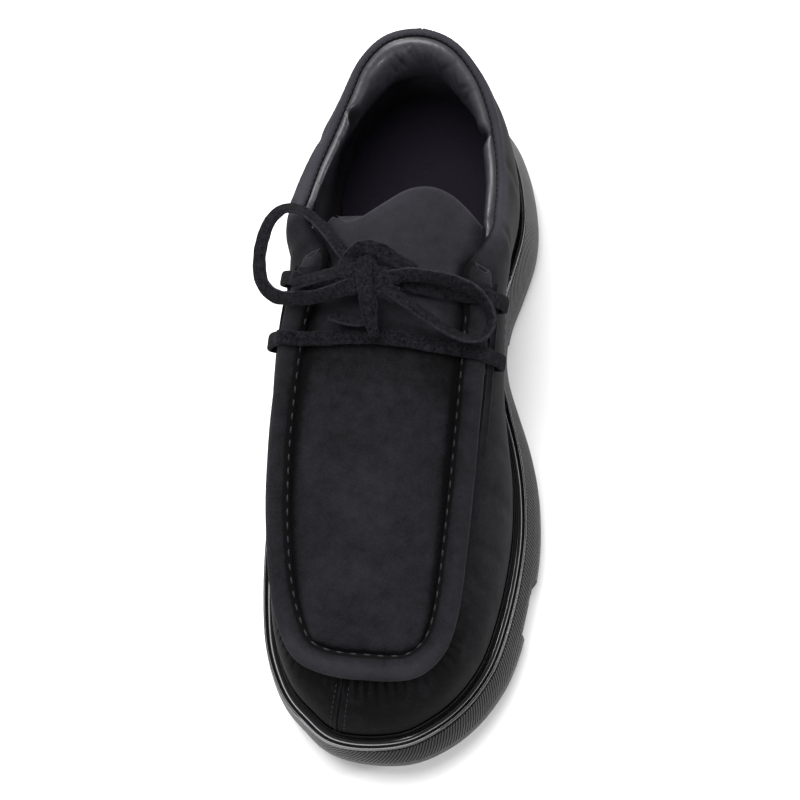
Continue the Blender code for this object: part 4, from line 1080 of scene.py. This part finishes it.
def roll_surface(place, size, q, lift=0.0):
    """Point of the roll's outside: q from -1 at its outer foot to 1 at the stitched valley."""
    half, up = size * ROLL_WIDTH / 2, seam_normal(place)
    base = skin_at(place, q * half) + seam_normal(place, q * half) * CLEARANCE
    height = size * ROLL_HEIGHT * max(0.0, 1 - abs(q)**2.2)**0.5
    away = unit(skin_at(place, -0.002) - skin_at(place, 0.002))
    overhang = away * 0.0011 * size * math.sin(math.pi * min(1.0, max(0.0, -q)))**1.5
    return base + up * (height + lift) + overhang


def make_roll():
    """Padded roll round the apron, with its two tucked and dimpled ends."""
    steps = 18
    sections, shade = [], []
    stops = roll_stops()
    count = len(stops)
    for n, (place, size) in enumerate(stops):
        s = run_at(place)
        swell = size * (1 + 0.012 * math.sin(s / 0.009) + 0.010 * math.sin(s / 0.0046 + 2))
        over = [roll_surface(place, swell, -math.cos(math.pi * k / steps)) for k in range(steps + 1)]
        under = [skin_at(place, q * swell * ROLL_WIDTH / 2) + seam_normal(place) * 0.0001
                 for q in (0.8, 0.3, -0.3, -0.8)]
        ring = np.array(over + under)
        away = min(n, count - 1 - n)
        from_end = abs(stops[n][0] - stops[0 if n < count / 2 else -1][0]) * BEAD_ROW_RUN
        if away < count // 3 and from_end < 0.010:
            ahead = stops[min(n + 1, count - 1)][0] if n < count / 2 else stops[n - 1][0]
            way = unit(top(ahead + (0.02 if n < count / 2 else -0.02)) - top(place))
            normal = seam_normal(place)
            high = np.clip((ring - skin_at(place, 0.0)) @ normal, 0, None)
            ring = ring + np.outer(high * 0.95 * (1 - smooth(from_end / 0.010)), way)
        sections.append(ring)
        toe = 1 - smooth((abs(TOE_ROW - place) - 2.5) / 3)
        for k in range(steps + 1):
            q = -math.cos(math.pi * k / steps)
            # painted highlight along the roll's crest, strongest at the toe (partly worn nap); painted shade
            # in the stitched valley and at its outer foot
            crest = hump((q + 0.15) / 0.55)
            shade.append((0.05 + 0.13 * toe) * crest - 0.22 * smooth((q - 0.72) / 0.28)
                         - 0.16 * smooth((-q - 0.80) / 0.2))
        # painted shade on the roll's underside
        shade += [-0.2] * 4
    ring_size = len(sections[0])
    for end in (0, -1):
        ring, inner = sections[end], sections[1 if end == 0 else -2]
        centre = ring.mean(axis=0)
        way = unit(inner.mean(axis=0) - centre)
        tucks = []
        for scale, depth in ((0.90, -0.0003), (0.76, 0.0002), (0.56, 0.0015), (0.30, 0.0024)):
            folded = [1 + (0.10 if scale < 0.8 else 0.03) * math.sin(2 * math.pi * 7 * k / ring_size)
                      for k in range(ring_size)]
            tucks.append(centre + (ring - centre) * scale * np.array(folded)[:, None] + way * depth)
        # painted highlight on the rim of each tucked end, painted shade deeper in its dimple
        tuck_painted_light = [0.30] * ring_size + [0.10] * ring_size + [-0.15] * ring_size + [-0.3] * ring_size
        if end == 0:
            sections = list(reversed(tucks)) + sections
            shade = list(reversed(tuck_painted_light)) + shade
        else:
            sections = sections + tucks
            shade = shade + tuck_painted_light
    return swept("apron_roll_leather", sections, NUBUCK_BLACK, ("apron_roll",), sharp=70,
                 shade=shade)


def make_facings():
    """Narrow strips beside the roll, with raised turned edges."""
    profile = ((0.0, 0.2), (0.06, 1.1), (0.16, 1.3), (0.28, 0.9), (0.5, 0.8), (0.72, 0.9), (0.84, 1.3),
               (0.94, 1.1), (1.0, 0.2))
    for name, side in (("facing_lateral", 1), ("facing_medial", -1)):
        start = ROLL_WIDTH / 2 + 2 * CLEARANCE
        stops = 60
        sections = []
        for k in range(stops + 1):
            place = around(BEAD + (FACING_FADE - BEAD) * k / stops, side)
            fade = 1 - smooth((k / stops - 0.62) / 0.38)
            high, low = [], []
            for share, height in profile:
                distance = -start - share * FACING_WIDTH
                normal = seam_normal(place, distance)
                base = skin_at(place, distance)
                high.append(base + normal * FACING_THICKNESS * height * fade)
                low.append(base - normal * 0.0001)
            sections.append(high + list(reversed(low)))
        swept(name + "_strip", sections, NUBUCK_BLACK, (name,), sharp=60)


def stitch(points_faces, start, end, normal, thickness, sink=0.3):
    """Adds one short raised thread between two points to a growing mesh."""
    points, faces = points_faces
    run = end - start
    side = unit(np.cross(normal, run))
    rings, sides = 7, 6
    base = len(points)
    for k in range(rings):
        t = k / (rings - 1)
        bow = math.sin(math.pi * t)
        centre = start + run * t + normal * thickness * (bow**0.6 * 0.55 - sink)
        size = thickness / 2 * (0.55 + 0.45 * bow**0.5)
        for i in range(sides):
            angle = 2 * math.pi * i / sides
            points.append(centre + side * math.cos(angle) * size + normal * math.sin(angle) * size)
    for k in range(rings - 1):
        for i in range(sides):
            j = (i + 1) % sides
            a = base + k * sides
            faces.append((a + i, a + j, a + sides + j, a + sides + i))
    faces.append(tuple(base + i for i in range(sides)))
    faces.append(tuple(base + (rings - 1) * sides + i for i in range(sides)))


def seam_row(work, line, normal_at, pitch, dash, thickness, sink=0.3):
    """Stitches of one length along a line of points, one each pitch."""
    run = lengths(line)
    line = np.asarray(line)
    s = pitch / 2
    while s + dash < run[-1]:
        a = np.array([np.interp(s, run, line[:, axis]) for axis in range(3)])
        b = np.array([np.interp(s + dash, run, line[:, axis]) for axis in range(3)])
        stitch(work, a, b, normal_at(s / run[-1]), thickness, sink)
        s += pitch


def make_stitches():
    """Apron seam in the valley, facing seam beside the roll, toe and heel rows, collar row."""
    heavy = ([], [])
    first, last = around(BEAD - 0.9, 1), around(BEAD - 0.9, -1)
    places = np.linspace(first, last, 400)
    valley = [roll_surface(p, 1.0, 0.985, 0.0001) + seam_normal(p) * 0.0004 for p in places]
    seam_row(heavy, valley, lambda t: seam_normal(first + (last - first) * t, ROLL_WIDTH / 2), APRON_STITCH,
             0.56 * APRON_STITCH, APRON_THREAD, 0.1)
    for side in (1, -1):
        rows = np.linspace(BEAD - 0.5, FACING_END + 0.2, 80)
        line = [skin_at(around(r, side), -ROLL_WIDTH / 2 - 0.0009)
                + seam_normal(around(r, side), -ROLL_WIDTH / 2) * 0.0007 for r in rows]
        seam_row(heavy, line,
                 lambda t, s=side: seam_normal(around(BEAD - 0.5 + (FACING_END + 0.7 - BEAD) * t, s), -0.006),
                 0.0052, 0.0034, APRON_THREAD, 0.2)
    points, faces = heavy
    add_piece("apron_seam_thread", points, faces, BLACK_THREAD, sharp=70)

    fine = ([], [])
    for shift in (-0.0036, 0.0036):
        place = TOE_SEAM + shift / TOE_ROW_RUN
        levels = np.linspace(0.06, 0.80, 40)
        line = [skin(place, v) + wall_normal(place, v) * 0.0001 for v in levels]
        seam_row(fine, line, lambda t, p=place: wall_normal(p, 0.06 + 0.74 * t), FINE_STITCH,
                 0.6 * FINE_STITCH, FINE_THREAD, 0.35)
    for shift in (-0.0032, 0.0032):
        place = shift / HEEL_ROW_RUN
        levels = np.linspace(0.06, 0.96, 60)
        line = [skin(place % ROWS, v) + wall_normal(place % ROWS, v) * 0.0001 for v in levels]
        seam_row(fine, line, lambda t, p=place: wall_normal(p % ROWS, 0.06 + 0.9 * t), FINE_STITCH,
                 0.6 * FINE_STITCH, FINE_THREAD, 0.45)
    start, stop = around(COLLAR_FRONT + 0.2, 1), around(COLLAR_FRONT + 0.2, -1) - ROWS
    places = np.linspace(start, stop, 500)
    line = [top(p % ROWS) + (-outward(top, p % ROWS) * 3.0 + UP * 0.38) * MM for p in places]
    seam_row(fine, line, lambda t: UP, FINE_STITCH, 0.6 * FINE_STITCH, FINE_THREAD, 0.4)
    points, faces = fine
    add_piece("fine_seam_thread", points, faces, BLACK_THREAD, sharp=70)

    pale = ([], [])
    for k, row in enumerate((14.0, 14.25, 14.5, 14.75, 15.0)):
        place, level = around(row, -1), 0.30 + 0.03 * k
        inwards = -outward(top, place)
        spot = lining_point(place, level) + inwards * 0.0001
        ahead = lining_point(place + 0.12, level) + inwards * 0.0001
        stitch(pale, spot, ahead, -wall_normal(place, level), 0.0006, 0.1)
    points, faces = pale
    add_piece("lining_thread", points, faces, PALE_THREAD, sharp=70)


def thread_ring(name, side):
    """Two turns of thread pulled tight round the roll below its end."""
    work = ([], [])
    run = np.linalg.norm(top(around(BEAD, 1) + 0.5) - top(around(BEAD, 1))) * 2
    for turn in (1.13, 1.22):
        place = around(BEAD_TOP - turn * ROLL_WIDTH / run, side)
        line = [roll_surface(place, 0.90, -math.cos(math.pi * k / 24), 0.0002) for k in range(1, 24)]
        for a, b in zip(line[:-1], line[1:]):
            normal = unit((a + b) / 2 - skin_at(place, 0.0) + seam_normal(place) * 0.001)
            stitch(work, a - (b - a) * 0.2, b + (b - a) * 0.2, normal, 0.0006, 0.1)
    points, faces = work
    add_piece(name, points, faces, BLACK_THREAD, sharp=70)


# Tongue

TONGUE_ROWS = (
    (0.00, 1.00, 0.000, 1.00), (0.14, 1.00, 0.000, 1.03), (0.28, 1.00, 0.000, 1.06),
    (0.42, 1.00, 0.000, 1.10), (0.56, 1.00, 0.010, 1.25), (0.70, 0.96, 0.018, 1.45),
    (0.85, 0.97, 0.010, 1.60), (1.00, 0.98, -0.020, 1.62),
)
TONGUE_EDGE = ((0.0, 0.66), (0.15, 0.92), (0.30, 1.01), (0.45, 0.93), (0.60, 0.72),
               (0.74, 0.54), (0.84, 0.51), (0.93, 0.63), (1.0, 0.50))


def throat_curve(side):
    rows = [PLUG_END - 0.2 + 0.1 * k for k in range(int((COLLAR_FRONT + 1.2 - PLUG_END) * 10))]
    return np.array([skin(around(row, side), 2.0) for row in rows])


THROAT = {side: throat_curve(side) for side in (1, -1)}


def throat_point(y, u, fall=0.0, crown=1.0, width=1.0, ends=None):
    edge_y = y if ends is None else min(y, ends)
    right, left = (np.array([np.interp(edge_y, line[:, 1], line[:, axis]) for axis in range(3)])
                   for line in (THROAT[1], THROAT[-1]))
    half = width * ((right[0] - left[0]) / 2 - 1.5 * CLEARANCE)
    centre = 0.5 * (right[0] + left[0])
    edge = right[2] + (left[2] - right[2]) * u - fall * BACK_HEIGHT
    return np.array([centre + half * (1 - 2 * u), y, edge + crown * THROAT_CROWN * math.sin(math.pi * u)])


def make_tongue():
    """Padded nubuck tongue with a rounded edge and a few soft folds."""
    across, up_steps = 56, 60
    start = 0.5 * (skin(around(PLUG_END, 1), 2.0)[1] + skin(around(PLUG_END, -1), 2.0)[1]) + 1.5 * CLEARANCE
    bead = 0.5 * (top(around(BEAD, 1))[1] + top(around(BEAD, -1))[1])
    edge_curve = smooth_path([(u, reach, 0.0) for u, reach in TONGUE_EDGE], 90)
    rows = smooth_path(TONGUE_ROWS, 200)
    rings, shade = [], []
    for r in range(up_steps + 1):
        share = r / up_steps
        width, fall, crown = (np.interp(share, rows[:, 0], rows[:, c]) for c in (1, 2, 3))
        line, back = [], []
        for k in range(across + 1):
            u = k / across
            reach = np.interp(u, edge_curve[:, 0], edge_curve[:, 1]) * TONGUE_REACH
            y = start + (bead + reach - start) * share
            point = throat_point(y, u, fall, crown, width, bead + 0.2 * TONGUE_REACH)
            edge = min(smooth(u / 0.07), smooth((1 - u) / 0.07), smooth((1 - share) / 0.10))
            spread = smooth((share - 0.62) / 0.2)
            point = point + np.array([spread * (0.0045 * (1 - u)**2 - 0.002 * u**2), 0.0, 0.0])
            fold = -0.0006 * hump((u - 0.13 - 0.25 * (1 - share)) / 0.035) * smooth((share - 0.5) / 0.3)
            fold -= 0.0005 * hump((u - 0.86 + 0.2 * (1 - share)) / 0.04) * smooth((share - 0.5) / 0.3)
            fold += 0.0003 * math.sin(7 * u + 5 * share)
            line.append(point + UP * (fold - 0.0011 * (1 - edge)))
            back.append(point - UP * (TONGUE_THICKNESS - 0.0014 * (1 - edge)))
            # painted light on the tongue: lighter overall, a painted highlight along its top edge, painted
            # shade towards its sides, its foot and its back face
            rim_light = 0.22 * (1 - smooth((1 - share) / 0.025))
            shade.append(0.16 + rim_light - 0.16 * (1 - smooth(min(u, 1 - u) / 0.10))
                         - 0.10 * hump(share / 0.4))
        shade += [-0.1] * (across + 1)
        rings.append(line + list(reversed(back)))
    piece = swept("tongue_padded", rings, NUBUCK_BLACK, ("tongue",), sharp=60, shade=shade)


# Lace bars

def over_roll(place, q, lift):
    half = ROLL_WIDTH / 2 + lift
    height = (ROLL_HEIGHT + lift) * math.sqrt(max(0.0, 1 - q * q))
    return skin_at(place, q * half) + seam_normal(place) * max(height, lift)


def lace_bar_path(row):
    """Middle line of a bar from the lateral hole over roll, throat and roll to the medial hole."""
    lift = 0.0013 + 4 * CLEARANCE
    sides = []
    for side in (1, -1):
        place = around(row, side)
        hole, strip = -HOLE_FROM_SEAM, -(ROLL_WIDTH / 2 + 0.8 * FACING_WIDTH)
        stops = [skin_at(place, hole - 0.001) - seam_normal(place, hole) * 0.004,
                 skin_at(place, hole) + seam_normal(place, hole) * (lift + 0.0006),
                 skin_at(place, strip)
                 + seam_normal(place, strip) * (lift + FACING_THICKNESS + 2 * CLEARANCE)]
        stops += [over_roll(place, q, lift + CLEARANCE) for q in (-0.72, -0.2, 0.35, 0.8)]
        sides.append(stops)
    ends = [stops[-1][1] for stops in sides]
    middle = []
    for u in (0.14, 0.32, 0.5, 0.68, 0.86):
        y = ends[0] + (ends[1] - ends[0]) * u
        middle.append(throat_point(y, u, crown=1.1) + UP * (lift + 0.0006))
    return sides[0] + middle + list(reversed(sides[1]))


def make_lace_bars():
    for name, row in (("lace_bar_lower", LOWER_HOLE), ("lace_bar_upper", UPPER_HOLE)):
        path = smooth_path(lace_bar_path(row), 120)
        slope = sum(skin(around(row + 0.4, side), 1.0) - skin(around(row - 0.4, side), 1.0)
                    for side in (1, -1))
        sections = []
        for k, point in enumerate(path):
            run = unit(path[min(k + 1, len(path) - 1)] - path[max(k - 1, 0)])
            wide = unit(slope - run * np.dot(slope, run))
            s = k * 0.3
            width = LACE_WIDTH * (1 + 0.03 * math.sin(1.7 * s + row) + 0.025 * math.sin(4.1 * s))
            sections.append(band_section(point, run, wide, width, LACE_THICKNESS))
        swept(name + "_thong", sections, SUEDE_THONG, (name,), sharp=60, across=BAND_ACROSS)


# Sole

def make_welt():
    """Polished rubber welt: a bead against the upper, grooves, a flat band and an outer ridge."""
    # share of the visible width outwards, share of the height
    profile = ((0.97, 0.0), (1.0, 0.30), (1.0, 0.62), (0.985, 0.78), (0.95, 0.86), (0.88, 0.88), (0.83, 0.85),
               (0.80, 0.76), (0.78, 0.62), (0.72, 0.55), (0.60, 0.56), (0.48, 0.60), (0.44, 0.68),
               (0.41, 0.69), (0.38, 0.62), (0.35, 0.54), (0.31, 0.52), (0.27, 0.60), (0.24, 0.82),
               (0.20, 1.04), (0.14, 1.14), (0.07, 1.10), (0.01, 0.92))
    places = fine_places()
    rings = [level_ring(places, -WELT_SEAT, lambda y: seat(y) - WELT_HEIGHT)]
    for share, rise in profile:
        rings.append(level_ring(places, lambda p, s=share: s * welt_width(p),
                                lambda y, r=rise: seat(y) - WELT_HEIGHT * (1 - r)))
    rings.append(level_ring(places, -WELT_SEAT, lambda y: seat(y) - 0.1 * WELT_HEIGHT))
    sections = np.array(rings).transpose(1, 0, 2)
    return swept("welt_band", sections, GLOSSY_RUBBER, ("welt",), closed=True, sharp=55)


def loft(name, rings, finishes, replaces):
    """Closed solid through level rings, with the side's run and rise kept for its ribs."""
    count = len(rings[0])
    points = [p for ring in rings for p in ring]
    faces, uvs, sides = [], [], []
    run = lengths(np.concatenate([rings[0], rings[0][:1]]))
    for k in range(len(rings) - 1):
        for i in range(count):
            j = (i + 1) % count
            quad = (k * count + i, k * count + j, (k + 1) * count + j, (k + 1) * count + i)
            faces.append(quad)
            uvs += [(run[i], points[quad[0]][2]), (run[i + 1], points[quad[1]][2]),
                    (run[i + 1], points[quad[2]][2]), (run[i], points[quad[3]][2])]
            sides.append(0)
    for k in (0, len(rings) - 1):
        for i in range(count // 2):
            strip = [i, i + 1, (count - i - 1) % count, (count - i) % count]
            kept = [k * count + v for v in dict.fromkeys(strip)]
            faces.append(tuple(kept))
            uvs += [(points[v][0], points[v][1]) for v in kept]
            sides.append(1)
    return add_piece(name, points, faces, finishes, replaces, uvs, sides, sharp=30)


def carve(target, cutters):
    """Take guide solids out of a piece for good."""
    for cutter in cutters:
        knife = target.modifiers.new("cut", "BOOLEAN")
        knife.operation = "DIFFERENCE"
        knife.solver = "EXACT"
        knife.object = cutter
    ready = target.evaluated_get(bpy.context.evaluated_depsgraph_get())
    carved = bpy.data.meshes.new_from_object(ready, preserve_all_data_layers=True,
                                             depsgraph=bpy.context.evaluated_depsgraph_get())
    target.modifiers.clear()
    target.data = carved
    carved.set_sharp_from_angle(angle=math.radians(35))


def cutter_box(points, faces):
    mesh = bpy.data.meshes.new("guide")
    mesh.from_pydata([tuple(np.asarray(p) + SHIFT) for p in points], [], faces)
    mesh.materials.append(MATTE_RUBBER)
    work = bmesh.new()
    work.from_mesh(mesh)
    bmesh.ops.recalc_face_normals(work, faces=work.faces)
    work.to_mesh(mesh)
    work.free()
    guide = bpy.data.objects.new("guide", mesh)
    bpy.context.collection.objects.link(guide)
    guide.hide_render = True
    return guide


def prism(plan_low, plan_high):
    """Points and faces between two equal outlines."""
    size = len(plan_low)
    faces = [(i, (i + 1) % size, size + (i + 1) % size, size + i) for i in range(size)]
    faces += [tuple(range(size)), tuple(range(size, 2 * size))]
    return list(plan_low) + list(plan_high), faces


def arch_guide():
    steps = 12
    profile = [(ARCH_FROM, -ARCH_HEIGHT)]
    for k in range(steps + 1):
        t = k / steps
        profile.append((ARCH_FROM + 0.0015 + t * (ARCH_TO - ARCH_FROM - 0.003),
                        ARCH_HEIGHT * (0.80 + 0.20 * math.sin(math.pi * t))))
    profile.append((ARCH_TO, -ARCH_HEIGHT))
    inner, outer = ([(x, y, z) for y, z in profile] for x in (-BALL_WIDTH, BALL_WIDTH))
    return cutter_box(*prism(inner, outer))


def side_place(y, side):
    """Place around the foot nearest a length, on one side."""
    return min((p for p in fine_places(0.5) if foot(p)[0] * side > 0), key=lambda p: abs(foot(p)[1] - y))


def step_guide():
    def edge(y):
        place = side_place(y, 1)
        side = foot(place) + outward(foot, place) * (rim(place) + flare(place))
        slope = outward(foot, place)
        return side[0] - (y - side[1]) * slope[1] / slope[0]
    slant = 1.6 * STEP_DEPTH
    far = edge(STEP_TO) + BALL_WIDTH / 4
    plan = [(edge(STEP_FROM) + MM, STEP_FROM - slant), (edge(STEP_FROM) - STEP_DEPTH, STEP_FROM),
            (edge(STEP_TO) - STEP_DEPTH, STEP_TO), (edge(STEP_TO) + MM, STEP_TO + slant),
            (far, STEP_TO + slant), (far, STEP_FROM - slant)]
    return cutter_box(*prism([(x, y, -0.002) for x, y in plan], [(x, y, STEP_HEIGHT) for x, y in plan]))


def lug_guides():
    """Slots across both edges of the tread."""
    end = LAST_LENGTH / 2
    front = [ARCH_FROM - LUG_PITCH * (k + 0.8) for k in range(int((end + ARCH_FROM) / LUG_PITCH))]
    back = [ARCH_TO + LUG_PITCH * (k + 0.9) for k in range(int((end - ARCH_TO) / LUG_PITCH))]
    points, faces = [], []
    for y in front + back:
        for side in (1, -1):
            edge = foot(side_place(y, side))[0]
            low_x, high_x = sorted((edge - side * (LUG_REACH - WELT_WIDTH), edge + side * BALL_WIDTH / 2))
            top_z = tread(y) + LUG_DEPTH
            plan = [(low_x, y - LUG_GROOVE / 2), (high_x, y - LUG_GROOVE / 2), (high_x, y + LUG_GROOVE / 2),
                    (low_x, y + LUG_GROOVE / 2)]
            more, quads = prism(*([(px, py, z) for px, py in plan] for z in (-LUG_DEPTH, top_z)))
            base = len(points)
            points += more
            faces += [tuple(base + i for i in face) for face in quads]
    return cutter_box(points, faces)


def make_sole():
    places = fine_places(1 / 6)
    finishes = [RIBBED_RUBBER, MATTE_RUBBER]
    flares = ((0.45, tread), (0.72, lambda y: tread(y) + 0.0012), (0.90, lambda y: tread(y) + 0.0035),
              (0.98, lambda y: tread(y) + 0.0058), (1.00, lambda y: tread(y) + 0.0080),
              (0.97, lambda y: 0.5 * (tread(y) + 0.0080 + split(y))),
              (0.92, lambda y: split(y) - CLEARANCE / 2))
    outsole = loft("outsole_ribbed", [level_ring(places, lambda p, f=f: rim(p) + f * flare(p), height)
                                      for f, height in flares], finishes, ("outsole",))
    guides = [arch_guide(), lug_guides(), step_guide()]
    carve(outsole, guides)

    def welt_foot(y):
        return seat(y) - WELT_HEIGHT - CLEARANCE
    halves = ((0.92, lambda y: split(y) + CLEARANCE / 2),
              (0.78, lambda y: 0.75 * split(y) + 0.25 * welt_foot(y)),
              (0.60, lambda y: 0.5 * (split(y) + welt_foot(y))),
              (0.36, lambda y: 0.25 * split(y) + 0.75 * welt_foot(y)), (0.10, welt_foot))
    rings = [level_ring(places, lambda p, f=f: rim(p) + f * flare(p), height) for f, height in halves]
    rings.append(level_ring(places, -WELT_SEAT - CLEARANCE, welt_foot))
    rings.append(level_ring(places, -WELT_SEAT - CLEARANCE, seat))
    midsole = loft("midsole_ribbed", rings, finishes, ("midsole",))
    carve(midsole, guides[2:])
    for guide in guides:
        bpy.data.objects.remove(guide, do_unlink=True)


def make_footbed():
    """Plain dark footbed, slightly cupped at its edge."""
    places = fine_places(1 / 4)
    floor = WALL + 2.5 * CLEARANCE
    heights = ((0.0010, 0.0), (0.0, 0.35), (0.0, 0.8), (0.0006, 1.0), (0.0022, 0.98), (0.006, 0.80),
               (0.012, 0.66), (0.020, 0.60))

    def inset(place, more):
        toe = smooth((-foot(place)[1] / LAST_LENGTH - 0.36) / 0.14)
        return -(WALL + INSOLE_INSET + INSOLE_TOE_INSET * toe + more)
    rings = [level_ring(places, lambda p, m=more: inset(p, m),
                        lambda y, h=height: seat(y) + floor + h * INSOLE_THICKNESS)
             for more, height in heights]
    loft("footbed", rings, [FOOTBED, FOOTBED], ("insole",))


# Studio

FLOOR_HALF = 6.0


def make_studio():
    floor = bpy.data.meshes.new("floor")
    corners = ((-1, -1), (1, -1), (1, 1), (-1, 1))
    floor.from_pydata([(FLOOR_HALF * x, FLOOR_HALF * y, 0) for x, y in corners], [], [(0, 1, 2, 3)])
    paper, _, shader = finish("studio_paper_white", 0.9, specular=0.1)
    shader.inputs["Base Color"].default_value = hex_colour("#f7f7f7")
    floor.materials.append(paper)
    sheet = bpy.data.objects.new("floor", floor)
    bpy.context.collection.objects.link(sheet)
    sheet.location.z = -0.0002
    world = bpy.data.worlds.new("studio")
    bpy.context.scene.world = world
    world.use_nodes = True
    sky = world.node_tree.nodes["Background"]
    sky.inputs["Color"].default_value = (1.0, 1.0, 1.0, 1.0)
    sky.inputs["Strength"].default_value = 0.40
    # spot in metres, size in metres, power in watts
    lamps = (("key_lamp", (-0.25, 0.22, 1.25), 0.9, 21.0), ("back_lamp", (-0.60, 0.85, 0.65), 0.45, 9.0),
             ("side_lamp", (1.05, 0.05, 0.50), 0.18, 4.5), ("toe_lamp", (0.45, -0.95, 0.60), 0.2, 4.0))
    for name, spot, size, power in lamps:
        light = bpy.data.lights.new(name, "AREA")
        light.energy = power
        light.shape = "DISK"
        light.size = size
        lamp = bpy.data.objects.new(name, light)
        bpy.context.collection.objects.link(lamp)
        lamp.location = spot
        lamp.rotation_euler = (Vector((0, 0, 0.05)) - Vector(spot)).to_track_quat("-Z", "Y").to_euler()
    bpy.context.scene.view_settings.view_transform = "Standard"


make_camera()
make_bow()
make_lace_bars()
make_wall()
make_lining()
make_apron()
make_roll()
make_facings()
make_tongue()
make_stitches()
thread_ring("bead_thread_lateral", 1)
thread_ring("bead_thread_medial", -1)
make_welt()
make_sole()
make_footbed()
make_studio()
